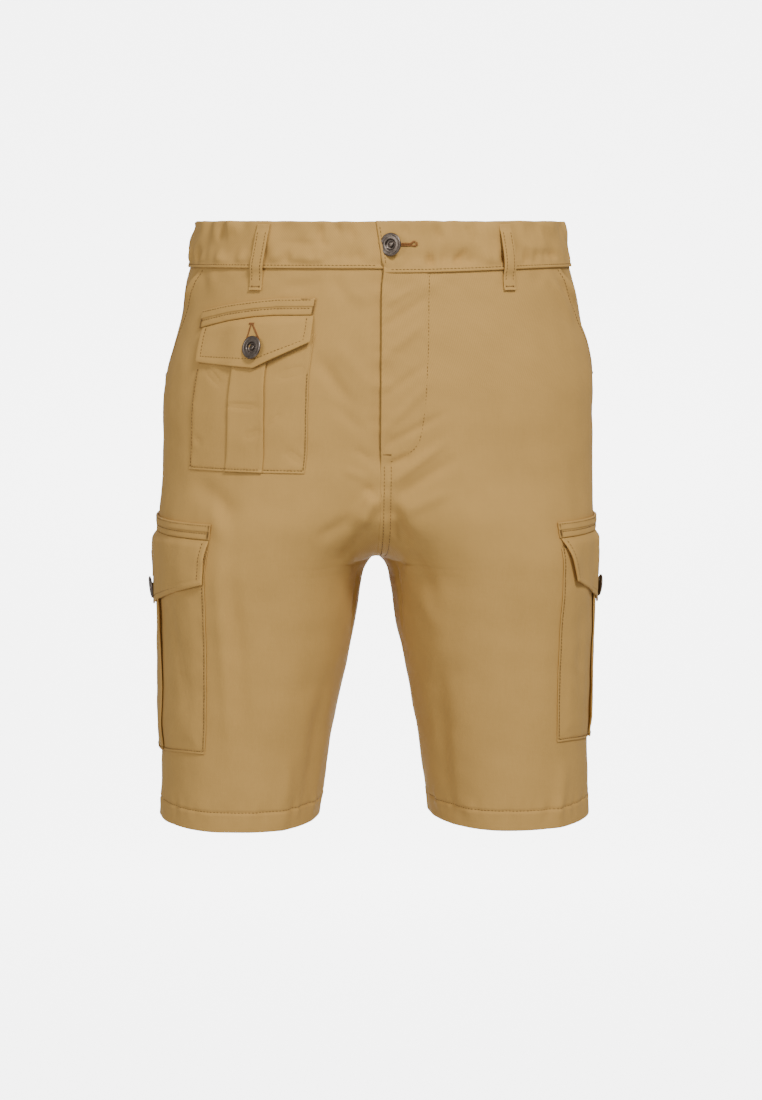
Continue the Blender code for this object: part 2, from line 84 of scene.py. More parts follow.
FOLDS = (                      # side, u, drop, reach along u and along the drop, rise
    (LEFT, 2, 115, 48, 34, 4.8),
    (RIGHT, 5, 100, 45, 38, -2.2),
    (RIGHT, 0, 208, 60, 38, -2.4),
    (LEFT, 300, 330, 26, 34, -1.6),
    (RIGHT, 300, 330, 26, 34, -1.6),
    (LEFT, -190, 330, 40, 60, -3.0),
    (RIGHT, -195, 322, 40, 60, -3.0),
    (RIGHT, 0, 8, 70, 34, -2.6),
    (RIGHT, 0, 14, 60, 10, 1.4),
    (RIGHT, 0, 34, 60, 12, -1.8),
    (LEFT, 0, 4, 70, 24, -1.6),
    (LEFT, 0, 66, 55, 24, 4.0),
)
MOUTH_REACH, MOUTH_END = 52.0, 138.0
INSEAM_FORWARD, LEFT_SAG, FLY_OVER, UNDERLAP = 12.0, 3.5, 5.5, 34.0
LOOPS = ((RIGHT, 121, 124.5), (LEFT, 116.5, 122.5), (RIGHT, -112, -113), (LEFT, -112, -113),
         (LEFT, -220.5, -229.5))
LOOP_WIDTH, LOOP_END, LOOP_STITCH = 11.5, 55.5, 2.2
UTILITY_TOP, UTILITY_BOTTOM = 91.0, 208.0          # the patch starts under its flap
UTILITY_STRIP = (119.0, 151.0)                     # the raised strip's edges
# The band over its mouth: u, the drops of its upper and lower edge
UTILITY_BAND = np.array(((71, 73.5, 88.5), (102, 67.5, 81.5), (127, 64, 77.5), (146, 62, 76),
                         (179, 61.5, 75.5)))
# The flap's two corners and its point: u at the band, u and drop at the free edge
UTILITY_FLAP = np.array(((76, 81.5, 117), (138, 140.5, 120.5), (180, 184, 98)))
UTILITY_BUTTON = (137.0, 103.5)
# side, front and rear edges at the top and the bottom, front corner of the flap
CARGOS = (
    (RIGHT, 117, 105, -94, -88, 115),
    (LEFT, 106, 99, -96, -90, 92),
)
CARGO_TOP, CARGO_SEAM, CARGO_BOTTOM = 253.0, 266.0, 452.0
CARGO_FLAP_CORNER, CARGO_FLAP_POINT = 303.5, 332.0
CARGO_SAG = 7.0                # the lower edge hangs this much lower behind than in front
CARGO_MIDDLE, CARGO_PLEAT, CARGO_BUTTON = 12.0, 29.0, 317.0
WAIST_BUTTON = (219.0, 17.5)
BAND_RISE = 2.3                # the waistband's cloth stands this much over its solid at the top
BUTTON_RADIUS = 9.8

# ---------------------------------------------------------------- cloth and sewing, in millimetres

CLOTH = 0.9                    # one layer
FOLDED = 1.6                   # a folded edge or a doubled flap
TUCK = 1.1                     # how far the under side of a seam lies below the upper side
HEM_STITCH = 17.5
STEP = 2.6                     # spacing of a shell's points
EDGE = (0.0, 0.2, 0.5, 1.0)    # points closer together at a rounded edge

# Creases: side, both ends as u and drop, half width, rise (a trough when negative)
CREASE_STRENGTH = 2.9
CREASES = (
    (RIGHT, 141, 285, 140, 440, 9, -0.8),
    (RIGHT, 128, 300, 127, 430, 7, 0.7),
    (RIGHT, 253, 226, 245, 250, 9, 1.9),
    (RIGHT, 244, 219, 256, 229, 4, -0.8),
    (RIGHT, 238, 246, 214, 262, 8, -0.8),
    (LEFT, 252, 236, 246, 268, 9, -2.0),
    (LEFT, 248, 200, 232, 193, 3.5, -0.7),
    (LEFT, 247, 214, 206, 186, 5, 0.9),
    (LEFT, 246, 228, 198, 199, 6, -0.8),
    (LEFT, 240, 240, 205, 225, 6, 0.6),
    (LEFT, 248, 276, 228, 310, 8, -0.6),
    (LEFT, 247.5, 233, 246.5, 242, 1.5, -0.25),
    (LEFT, 254, 254, 250, 274, 7, -0.7),
    (RIGHT, 252, 262, 240, 284, 8, -0.7),
    (RIGHT, 233, 188, 246, 196, 4, -0.5),
    (RIGHT, 214, 150, 238, 172, 6, -0.5),
    (RIGHT, 226, 205, 242, 212, 4, 0.4),
    (RIGHT, 190, 46, 205, 58, 8, -0.5),
    (RIGHT, 150, 52, 176, 50, 6, -0.4),
    (RIGHT, 200, 52, 222, 64, 6, 0.4),
    (LEFT, 262, 300, 210, 350, 10, 0.35),
    (LEFT, 286, 295, 276, 345, 4, -1.1),
    (RIGHT, 288, 300, 278, 352, 5, -0.9),
    (RIGHT, 196, 114, 226, 148, 7, -0.9),
    (RIGHT, 210, 104, 236, 130, 7, 0.5),
    (RIGHT, 92, 219, 134, 243, 11, -1.0),
    (RIGHT, 110, 232, 128, 262, 8, 0.7),
    (LEFT, 232, 66, 208, 53, 3.5, 0.45),
    (LEFT, 236, 84, 200, 62, 4.0, -0.5),
    (LEFT, 243, 108, 208, 84, 4.5, 0.5),
    (LEFT, 247, 140, 214, 118, 4.0, -0.45),
    (LEFT, 248, 166, 217, 137, 4.5, 0.5),
    (LEFT, 248, 182, 206, 160, 4.0, -0.55),
    (LEFT, 60, 48, 34, 74, 5, -0.8),
    (LEFT, 72, 46, 50, 80, 5, 0.6),
    (LEFT, 150, 300, 130, 420, 14, -0.7),
    (LEFT, 215, 400, 205, 500, 14, -1.0),
    (RIGHT, 222, 410, 205, 500, 14, -1.2),
    (LEFT, 90, 470, 96, 520, 9, 0.8),
    (RIGHT, 180, 465, 176, 520, 8, 0.7),
    # the back, which mirrors the front's habits unevenly
    (LEFT, -236, 236, -170, 262, 9, 1.4),
    (LEFT, -244, 262, -178, 292, 9, -1.9),
    (RIGHT, -240, 240, -160, 270, 9, 1.3),
    (RIGHT, -246, 266, -186, 288, 8, -1.7),
    (LEFT, -262, 296, -206, 320, 7, 1.1),
    (RIGHT, -264, 300, -196, 330, 8, -1.1),
    (LEFT, -150, 320, -138, 470, 12, -1.1),
    (RIGHT, -144, 330, -152, 480, 12, -1.0),
    (LEFT, -210, 390, -196, 510, 12, 0.8),
    (RIGHT, -214, 400, -204, 505, 11, 0.9),
    (LEFT, -60, 150, -110, 190, 12, -0.9),
    (RIGHT, -70, 140, -120, 186, 12, -0.8),
)


def smooth(t):
    """A soft step from 0 to 1."""
    t = np.clip(t, 0, 1)
    return t * t * (3 - 2 * t)


def bell(x, reach):
    return np.exp(-(x / reach) ** 2)


# ---------------------------------------------------------------- the form

def section(name, drop):
    levels, values = SECTIONS[:, 0], SECTIONS[:, SECTION_COLUMNS.index(name)]
    slopes = np.gradient(values, levels)
    i = np.clip(np.searchsorted(levels, drop, side="right") - 1, 0, len(levels) - 2)
    step = levels[i + 1] - levels[i]
    t = (drop - levels[i]) / step
    rise = values[i] + (values[i + 1] - values[i]) * t * t * (3 - 2 * t)
    return rise + step * t * (1 - t) * (slopes[i] * (1 - t) - slopes[i + 1] * t)


def fork(drop, ahead):
    rise = np.clip((CROTCH - drop) / np.where(ahead, FORK_FRONT, FORK_BACK), 0, 1)
    soft = SOFT_LOW + (SOFT_HIGH - SOFT_LOW) * smooth(rise)
    outer = np.hypot(section("side", drop), soft)
    split = np.where(drop > CROTCH, section("split", drop), 0)
    closed = smooth(rise) + FORK_START * rise * (1 - rise) ** 2
    inner = soft + split - closed * (soft + outer)
    return (outer + inner) / 2, (outer - inner) / 2, soft


def outline(angle, drop):
    ahead = angle >= 0
    middle, half, soft = fork(drop, ahead)
    c, s = np.cos(angle), np.sin(angle)
    across = middle + half * np.sign(c) * np.abs(c) ** (2 / SQUARE)
    x = np.sqrt(np.maximum(across ** 2 - soft ** 2, 0))
    depth = np.where(ahead, section("front", drop), section("back", drop))
    return x, -depth * np.sign(s) * np.abs(s) ** (2 / SQUARE)


def last_angle(drop, ahead):
    middle, half, soft = fork(drop, ahead)
    ratio = np.clip((soft - middle) / half, -1, 1)
    return np.where(drop >= CROTCH, np.pi, np.arccos(np.sign(ratio) * np.abs(ratio) ** (SQUARE / 2)))


LEVELS = np.arange(-6.0, LENGTH + 7.0)
SHARES = np.linspace(0, 1, 129)


def run_table(ahead):
    """The length of cloth from the side to the centre at each level, and the angle at each share of it."""
    eased = 0.5 - 0.5 * np.cos(np.linspace(0, np.pi, 721))
    last = last_angle(LEVELS, np.full(LEVELS.shape, ahead))
    angle = (1 if ahead else -1) * last[:, None] * eased[None, :]
    x, y = outline(angle, np.broadcast_to(LEVELS[:, None], angle.shape))
    pieces = np.hypot(np.diff(x, axis=1, prepend=x[:, :1]), np.diff(y, axis=1, prepend=y[:, :1]))
    run = np.cumsum(pieces, axis=1)
    rows = [np.interp(SHARES * line[-1], line, turn) for line, turn in zip(run, angle)]
    return run[:, -1], np.array(rows)


FRONT_RUN, FRONT_ANGLE = run_table(True)
BACK_RUN, BACK_ANGLE = run_table(False)


def front_run(drop):
    return np.interp(drop, LEVELS, FRONT_RUN)


def back_run(drop):
    return np.interp(drop, LEVELS, BACK_RUN)


def turn_at(table, runs, drop, v):
    """The angle at a distance v along the cloth, read between two levels."""
    row = drop - LEVELS[0]
    i = np.clip(np.floor(row).astype(int), 0, len(LEVELS) - 2)
    a = row - i
    angle = 0
    for level, weight in ((i, 1 - a), (i + 1, a)):
        column = np.clip(v / runs[level], 0, 1) * (len(SHARES) - 1)
        j = np.clip(np.floor(column).astype(int), 0, len(SHARES) - 2)
        b = column - j
        angle = angle + weight * ((1 - b) * table[level, j] + b * table[level, j + 1])
    return angle


def alike(*values):
    """The same numbers as arrays of one shape."""
    return np.broadcast_arrays(*(np.asarray(value, float) for value in values))


def bare_form(side, u, drop):
    """The cloth's outer face without relief. Past the centre line u goes on around the other half."""
    side, u, drop = alike(side, u, drop)
    front, back = front_run(drop), back_run(drop)
    leg = drop >= CROTCH
    past_front, past_back = u > front, u < -back
    v = np.where(past_front, np.where(leg, u - front - back, 2 * front - u), u)
    v = np.where(past_back, np.where(leg, u + front + back, -2 * back - u), v)
    ahead = v >= 0
    angle = np.where(ahead, turn_at(FRONT_ANGLE, FRONT_RUN, drop, np.abs(v)),
                     turn_at(BACK_ANGLE, BACK_RUN, drop, np.abs(v)))
    x, y = outline(np.where(ahead, np.maximum(angle, 0), np.minimum(angle, -1e-12)), drop)
    x = np.where((past_front | past_back) & ~leg, -x, x)
    return np.stack([side * x - LEAN * drop / LENGTH, y, -drop], axis=-1)


# Heights over and under a place, with the weight each has in the softened form at the crotch
CROTCH_EASE = ((-21, 1), (-14, 3), (-7, 5), (0, 6), (7, 5), (14, 3), (21, 1))


def bare(side, u, drop):
    """The same, with the legs flowing softly into the body over the crotch's level, away from the seams."""
    side, u, drop = alike(side, u, drop)
    points = bare_form(side, u, drop)
    reach = CROTCH_EASE[-1][0]
    run = np.where(u > 0, np.minimum(front_run(drop), front_run(drop - reach)),
                   np.minimum(back_run(drop), back_run(drop - reach)))
    share = smooth((run - np.abs(u) - 1) / 16) * smooth((44 - np.abs(drop - CROTCH)) / 22)
    near = share > 0
    if near.any():
        total = sum(weight for _, weight in CROTCH_EASE)
        eased = sum(weight / total * (bare_form(side[near], u[near], drop[near] + off) + (0, 0, off))
                    for off, weight in CROTCH_EASE)
        points[near] += share[near][:, None] * (eased - points[near])
    return points


def outward(side, u, drop):
    along = bare(side, u + 1.0, drop) - bare(side, u - 1.0, drop)
    down = bare(side, u, drop + 1.0) - bare(side, u, drop - 1.0)
    out = np.cross(along, down) * np.broadcast_to(np.asarray(side, float), np.shape(u))[..., None]
    return out / np.maximum(np.linalg.norm(out, axis=-1, keepdims=True), 1e-9)


def crease_height(row, u, drop):
    """A soft trough or ridge with a faint return on both sides."""
    u1, drop1, u2, drop2, width, rise = row
    length = math.hypot(u2 - u1, drop2 - drop1)
    along_u, along_drop = (u2 - u1) / length, (drop2 - drop1) / length
    t = ((u - u1) * along_u + (drop - drop1) * along_drop) / length
    off = ((u - u1) * along_drop - (drop - drop1) * along_u) / width
    ends = smooth((t + 0.3) / 0.6) * smooth((1.3 - t) / 0.6)
    return CREASE_STRENGTH * rise * ends * (1 - 0.5 * off ** 2) * np.exp(-off ** 2)


def fold_height(row, u, drop):
    at_u, at_drop, reach_u, reach_drop, rise = row
    return rise * np.exp(-((u - at_u) / reach_u) ** 2 - ((drop - at_drop) / reach_drop) ** 2)


def relief(side, u, drop, points):
    """Folds and creases, the same from whichever side a place is reached: straight, across the centre
    line, or around the leg."""
    front, back = front_run(drop), back_run(drop)
    leg = smooth((drop - CROTCH + 6) / 12)
    across = np.where(u > 0, 2 * front, -2 * back) - u
    height = 0.55 * uneven(points, 45, 110, 5) + 0.45 * uneven(points, 18, 42, 6)
    for table, shape in ((FOLDS, fold_height), (CREASES, crease_height)):
        for own, *row in table:
            straight = shape(row, u, drop)
            if abs(row[0]) > 180:
                around = shape(row, u - front - back, drop) + shape(row, u + front + back, drop)
                other = (1 - leg) * shape(row, across, drop)
                height = height + np.where(side == own, straight + leg * around, other)
            else:
                height = height + np.where(side == own, straight, 0)
    return height


def uneven(points, shortest, longest, seed, squeeze=(1, 1, 1)):
    """Seeded unevenness of the cloth at points in space, from about -1 to 1."""
    rng = np.random.default_rng(seed)
    length = np.exp(rng.uniform(math.log(shortest), math.log(longest), 12))
    way = rng.normal(size=(12, 3))
    way = way / np.linalg.norm(way, axis=1, keepdims=True) * np.array(squeeze)
    phase = rng.uniform(0, 2 * math.pi, 12)
    height = 0
    for size, turn, start in zip(length, way, phase):
        height = height + size * np.sin(2 * math.pi / size * (points @ turn) + start)
    return 2.2 * height / length.sum()


def form(side, u, drop, out):
    """The point at a height over the cloth's outer face, relief included."""
    side, u, drop, out = (np.array(a, float) for a in np.broadcast_arrays(side, u, drop, out))
    points = bare(side, u, drop)
    return points + outward(side, u, drop) * (out + relief(side, u, drop, points))[..., None]


def waist_seam(side, u):
    return WAISTBAND + np.where(side == LEFT, LEFT_SAG, 0) * smooth((u - 60) / 160)


def mouth_line(drop):
    return MOUTH_REACH * np.clip((MOUTH_END - drop) / (MOUTH_END - WAISTBAND), 0, 1)


def inseam_shift(drop):
    return INSEAM_FORWARD * smooth((drop - CROTCH) / 60)


# ---------------------------------------------------------------- materials

def shader_of(name):
    made = bpy.data.materials.new(name)
    made.use_nodes = True
    return made, made.node_tree, made.node_tree.nodes["Principled BSDF"]


def put(node, values):
    """Constant values on a node's own sockets."""
    for socket, value in values.items():
        node.inputs[socket].default_value = value


def noise(tree, coordinates, scale, detail, roughness=0.5):
    made = tree.nodes.new("ShaderNodeTexNoise")
    put(made, {"Scale": scale, "Detail": detail, "Roughness": roughness})
    tree.links.new(coordinates, made.inputs["Vector"])
    return made.outputs["Fac"]


def mapped(tree, source, scale=(1, 1, 1), turn=0.0):
    made = tree.nodes.new("ShaderNodeMapping")
    put(made, {"Scale": scale, "Rotation": (0, 0, turn)})
    tree.links.new(source, made.inputs["Vector"])
    return made.outputs["Vector"]


def math_node(tree, operation, first, second):
    made = tree.nodes.new("ShaderNodeMath")
    made.operation = operation
    for socket, value in zip(made.inputs, (first, second)):
        if isinstance(value, (int, float)):
            socket.default_value = value
        else:
            tree.links.new(value, socket)
    return made.outputs[0]


def weighted(tree, first, share, second, other_share):
    """One height times its share, and another times its own, added up."""
    parts = (math_node(tree, "MULTIPLY", first, share), math_node(tree, "MULTIPLY", second, other_share))
    return math_node(tree, "ADD", *parts)


def mix_colour(tree, factor, first, second):
    made = tree.nodes.new("ShaderNodeMix")
    made.data_type = "RGBA"
    for socket, value in (("Factor", factor), ("A", first), ("B", second)):
        if isinstance(value, (float, tuple)):
            put(made, {socket: (*value, 1) if isinstance(value, tuple) else value})
        else:
            tree.links.new(value, made.inputs[socket])
    return made.outputs["Result"]


def ramp(tree, factor, low=0.0, high=1.0, to_low=0.0, to_high=1.0):
    """A factor stretched from one range to another."""
    made = tree.nodes.new("ShaderNodeMapRange")
    put(made, {"From Min": low, "From Max": high, "To Min": to_low, "To Max": to_high})
    tree.links.new(factor, made.inputs["Value"])
    return made.outputs["Result"]


def bump(tree, shader, layers):
    """Heights in millimetres, each with its strength, bumped one on the other."""
    below = None
    for height, strength, distance in layers:
        made = tree.nodes.new("ShaderNodeBump")
        put(made, {"Strength": strength, "Distance": distance * MM})
        tree.links.new(height, made.inputs["Height"])
        if below:
            tree.links.new(below, made.inputs["Normal"])
        below = made.outputs["Normal"]
    tree.links.new(below, shader.inputs["Normal"])


def twill_material(name, colour, dark):
    """Cotton twill: fine diagonal ribs, uneven yarns along the warp, a soft sheen and a little mottling."""
    made, tree, shader = shader_of(name)
    place = tree.nodes.new("ShaderNodeUVMap")
    place.uv_map = "cloth"
    cloth = place.outputs["UV"]
    wave = tree.nodes.new("ShaderNodeTexWave")
    wave.wave_type, wave.bands_direction, wave.wave_profile = "BANDS", "X", "SIN"
    put(wave, {"Scale": 0.5, "Distortion": 0.6, "Detail": 1.0, "Detail Scale": 0.6})
    ribs = mapped(tree, cloth, (620, 620, 1), math.radians(-58))
    tree.links.new(ribs, wave.inputs["Vector"])
    warp = noise(tree, mapped(tree, cloth, (900, 60, 1)), 1.0, 2)
    weft = noise(tree, mapped(tree, cloth, (70, 900, 1)), 1.0, 2)
    cloud = noise(tree, mapped(tree, cloth, (28, 22, 1)), 1.0, 4, 0.6)
    yarn = weighted(tree, warp, 0.6, weft, 0.4)
    depth = weighted(tree, wave.outputs["Fac"], 0.45, yarn, 0.55)
    woven = mix_colour(tree, ramp(tree, depth, 0.2, 0.8), dark, colour)
    paler = tuple(min(1.0, c * 1.07) for c in colour)
    duller = tuple(c * 0.93 for c in colour)
    mottled = mix_colour(tree, ramp(tree, cloud, 0.3, 0.7), duller, paler)
    tree.links.new(mix_colour(tree, 0.4, woven, mottled), shader.inputs["Base Color"])
    rough = ramp(tree, wave.outputs["Fac"], to_low=0.74, to_high=0.62)
    tree.links.new(rough, shader.inputs["Roughness"])
    put(shader, {"Specular IOR Level": 0.06, "Sheen Weight": 0.03, "Sheen Roughness": 0.45,
                 "Sheen Tint": (0.95, 0.85, 0.7, 1)})
    fuzz = noise(tree, mapped(tree, cloth, (260, 260, 1)), 1.0, 3)
    bump(tree, shader, ((fuzz, 0.25, 0.5), (depth, 0.5, 0.12)))
    return made


def thread_material(name, colour):
    made, tree, shader = shader_of(name)
    place = tree.nodes.new("ShaderNodeTexCoord")
    twist = noise(tree, mapped(tree, place.outputs["Object"], (2500, 2500, 900)), 1.0, 2)
    tone = mix_colour(tree, ramp(tree, twist, 0.3, 0.7), tuple(c * 0.8 for c in colour), colour)
    tree.links.new(tone, shader.inputs["Base Color"])
    put(shader, {"Roughness": 0.7, "Specular IOR Level": 0.2, "Sheen Weight": 0.05})
    bump(tree, shader, ((twist, 0.5, 0.1),))
    return made


def metal_material(name):
    """Gunmetal with a brown patina, rubbed bright in spots."""
    made, tree, shader = shader_of(name)
    place = tree.nodes.new("ShaderNodeTexCoord").outputs["Object"]
    patina = noise(tree, place, 150.0, 4, 0.55)
    scuff = noise(tree, place, 1500.0, 3)
    tone = mix_colour(tree, ramp(tree, patina, 0.38, 0.66), (0.11, 0.086, 0.07), (0.21, 0.17, 0.141))
    tree.links.new(tone, shader.inputs["Base Color"])
    put(shader, {"Metallic": 0.95})
    tree.links.new(ramp(tree, patina, to_low=0.3, to_high=0.45), shader.inputs["Roughness"])
    bump(tree, shader, ((patina, 0.1, 0.12), (scuff, 0.1, 0.03)))
    return made


KHAKI = (0.497, 0.292, 0.087)
KHAKI_DARK = (0.40, 0.229, 0.064)
TWILL = twill_material("khaki_twill", KHAKI, KHAKI_DARK)
# Stitch thread: a tonal thread a little darker than the cloth, darkened further with painted shade that
# stands for the shade in the grooves and needle holes the stitches sit in.
THREAD_WITH_PAINTED_SHADE = thread_material("khaki_thread_painted_shade", (0.16, 0.078, 0.020))
HOLE_THREAD = thread_material("buttonhole_thread", (0.30, 0.120, 0.035))
METAL = metal_material("aged_gunmetal")

# ---------------------------------------------------------------- making pieces

def finished(name, mesh, finish, slot, *nodes):
    mesh.materials.append(finish)
    made = bpy.data.objects.new(name, mesh)
    bpy.context.scene.collection.objects.link(made)
    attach(made, "root")
    if nodes:
        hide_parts(*nodes)
    return made


def mesh_of(name, points, faces):
    mesh = bpy.data.meshes.new(name)
    mesh.from_pydata((points * MM).tolist(), [], faces.tolist())
    mesh.shade_smooth()
    return mesh


def shell(name, side, u, drop, high, low, u_low=None):
    """A closed cloth shell between two heights over a grid of places, hung on what holds it. Where the
    cloth is folded on itself, the places of its inner face are given too."""
    u_low = u if u_low is None else u_low
    u, drop, high, low, side, u_low = (np.array(a, float) for a in
                                       np.broadcast_arrays(u, drop, high, low, side, u_low))
    rows, columns = u.shape
    top, bottom = form(side, u, drop, high), form(side, u_low, drop, low)
    index = np.arange(rows * columns).reshape(rows, columns)

    def quads(a):
        return np.stack([a[:-1, :-1], a[:-1, 1:], a[1:, 1:], a[1:, :-1]], axis=-1).reshape(-1, 4)

    border = np.concatenate([index[0], index[1:, -1], index[-1, -2::-1], index[-2:0:-1, 0]])
    after = np.roll(border, -1)
    below = rows * columns
    faces = np.concatenate([quads(index), quads(index + below)[:, ::-1],
                            np.stack([border, border + below, after + below, after], axis=-1)])
    corner = top[:-1, :-1]
    normal = np.cross(top[:-1, 1:] - corner, top[1:, :-1] - corner)
    if (normal * (corner - bottom[:-1, :-1])).sum() < 0:
        faces = faces[:, ::-1]
    mesh = mesh_of(name + "_cloth", np.concatenate([top.reshape(-1, 3), bottom.reshape(-1, 3)]), faces)
    along = np.cumsum(np.abs(np.diff(u, axis=1, prepend=u[:, :1])), axis=1)
    place = np.tile(np.stack([along - side * u[:, :1], -drop], axis=-1).reshape(-1, 2) * MM, (2, 1))
    loops = np.empty(len(mesh.loops), dtype=np.int32)
    mesh.loops.foreach_get("vertex_index", loops)
    mesh.uv_layers.new(name="cloth").data.foreach_set("uv", place[loops].ravel())
    made = finished(name + "_cloth", mesh, TWILL, "twill", name)
    return made


def rim(distance, reach=1.0):
    """How much of a sheet's thickness is left this near to its rounded edge."""
    near = np.clip(distance / reach, 0, 1)
    return np.maximum(np.sqrt(np.maximum(1 - (1 - near) ** 2, 0)), 0.3)


def rounded(high, low, edge):
    middle, half = (high + low) / 2, (high - low) / 2
    return middle + half * edge, middle - half * edge


def spread(length, step=STEP, start=EDGE, end=EDGE):
    """Distances along a length: a step apart in the middle, closer at its ends."""
    count = max(2, round((length - start[-1] - end[-1]) / step) + 1)
    middle = np.linspace(start[-1], length - end[-1], count)
    return np.concatenate([np.array(start[:-1]), middle, (length - np.array(end[:-1]))[::-1]])


def groove(distance, at, depth=0.36, width=0.8):
    """The dent that a row of stitches pulls in."""
    return -depth * bell(distance - at, width)


# ---------------------------------------------------------------- stitches

SEWN = {}
STATIONS = np.array((-0.5, -0.34, 0, 0.34, 0.5))       # along a thread, as shares of its length


def dense(points, step=1.0):
    """Places about a step apart along straight lines between the given ones."""
    points = np.array(points, float)
    rows = [points[:1]]
    for a, b in zip(points[:-1], points[1:]):
        count = max(1, int(np.hypot(*(b - a)) / step))
        rows.append(a + (b - a) * (np.arange(1, count + 1) / count)[:, None])
    return np.concatenate(rows).T


def threads(group, side, u, drop, out, radius):
    """Short threads, one a row of five stations: dipping into the cloth at both ends."""
    side = np.broadcast_to(side, u.shape)
    sunk = np.array((-0.9, 0.15, 0.5, 0.15, -0.9)) * radius
    thin = np.array((0.5, 0.95, 1.0, 0.95, 0.5)) * radius
    line = form(side, u, drop, out + sunk)
    up = outward(side[:, 2], u[:, 2], drop[:, 2])
    ahead = line[:, -1] - line[:, 0]
    across = np.cross(up, ahead)
    across = across / np.linalg.norm(across, axis=1, keepdims=True)
    ring = [(math.cos(a), math.sin(a)) for a in np.arange(4) * math.pi / 2 + math.pi / 4]
    points = np.stack([line + thin[None, :, None] * (c * across + s * up)[:, None, :] for c, s in ring],
                      axis=2)
    SEWN.setdefault(group, []).append(points.reshape(-1, 20, 3))


def sew(group, side, u, drop, out, pitch=3.1, length=2.2, radius=0.3, seed=1):
    """A row of stitches along a line of places and heights."""
    u, drop = np.asarray(u, float), np.asarray(drop, float)
    out = np.broadcast_to(out, u.shape)
    side_line = np.broadcast_to(side, u.shape)
    run = np.concatenate([[0], np.cumsum(np.hypot(np.diff(u), np.diff(drop)))])
    count = int(run[-1] / pitch)
    rng = np.random.default_rng(seed)
    middle = (np.arange(count) + 0.5 + rng.uniform(-0.06, 0.06, count)) * pitch
    size = length * rng.uniform(0.9, 1.08, count)
    at = middle[:, None] + size[:, None] * STATIONS[None, :]
    skew = rng.uniform(-0.08, 0.08, count)[:, None] * np.array((-1, -0.7, 0, 0.7, 1))[None, :]
    sides = np.interp(at, run, side_line)
    sides = np.where(sides > 0, LEFT, RIGHT)
    threads(group, sides, np.interp(at, run, u) + skew, np.interp(at, run, drop) + skew,
            np.interp(at, run, out), radius)


def tack(group, side, start, end, width, out, pitch=0.62, radius=0.24):
    """A bar tack: threads side by side across a short line."""
    (u1, drop1), (u2, drop2) = start, end
    length = math.hypot(u2 - u1, drop2 - drop1)
    count = max(2, int(length / pitch))
    share = (np.arange(count) + 0.5) / count
    across_u, across_drop = (drop1 - drop2) / length, (u2 - u1) / length
    ragged = 1 + 0.12 * np.cos(9 * np.arange(count))
    reach = width * STATIONS[None, :] * ragged[:, None]
    u = u1 + (u2 - u1) * share[:, None] + across_u * reach
    drop = drop1 + (drop2 - drop1) * share[:, None] + across_drop * reach
    threads(group, side, u, drop, out + np.zeros(u.shape), radius)


def sewn_meshes():
    caps = [[0, 1, 2, 3], [19, 18, 17, 16]]
    sides = []
    for k in range(0, 16, 4):
        sides += [[k + j, k + 4 + j, k + 4 + (j + 1) % 4, k + (j + 1) % 4] for j in range(4)]
    pattern = np.array(caps + sides)
    for group, rows in SEWN.items():
        points = np.concatenate(rows)
        faces = (pattern[None] + 20 * np.arange(len(points))[:, None, None]).reshape(-1, 4)
        mesh = mesh_of(group, points.reshape(-1, 3), faces)
        hole = group.startswith("buttonhole")
        finished(group, mesh, HOLE_THREAD if hole else THREAD_WITH_PAINTED_SHADE, "buttonhole_thread" if hole else "thread")


# ---------------------------------------------------------------- panels

FLY_LINE = np.array(((36, 39), (107, 38.5), (150, 36.5), (171, 34), (181, 31.5), (187, 27.5), (191, 22.5),
                     (195, 15.5), (198, 7.5), (199.5, 0)))
SHALLOW = 13.0                 # how far from the centre the fly's under side begins to lie lower
MOUTH_STITCH = 6.5
CENTRE_STITCHES = (2.2, 8.0)


def fly_line(drop):
    """How far the fly's stitched line is from the centre: straight down, then a curve to the centre."""
    return np.interp(drop, FLY_LINE[:, 0], FLY_LINE[:, 1])


def panel_seam(front, drop):
    """The distance from the side seam to the centre seam or the inseam."""
    run = front_run(drop) if front else back_run(drop)
    return run + (-1 if front else 1) * inseam_shift(drop)


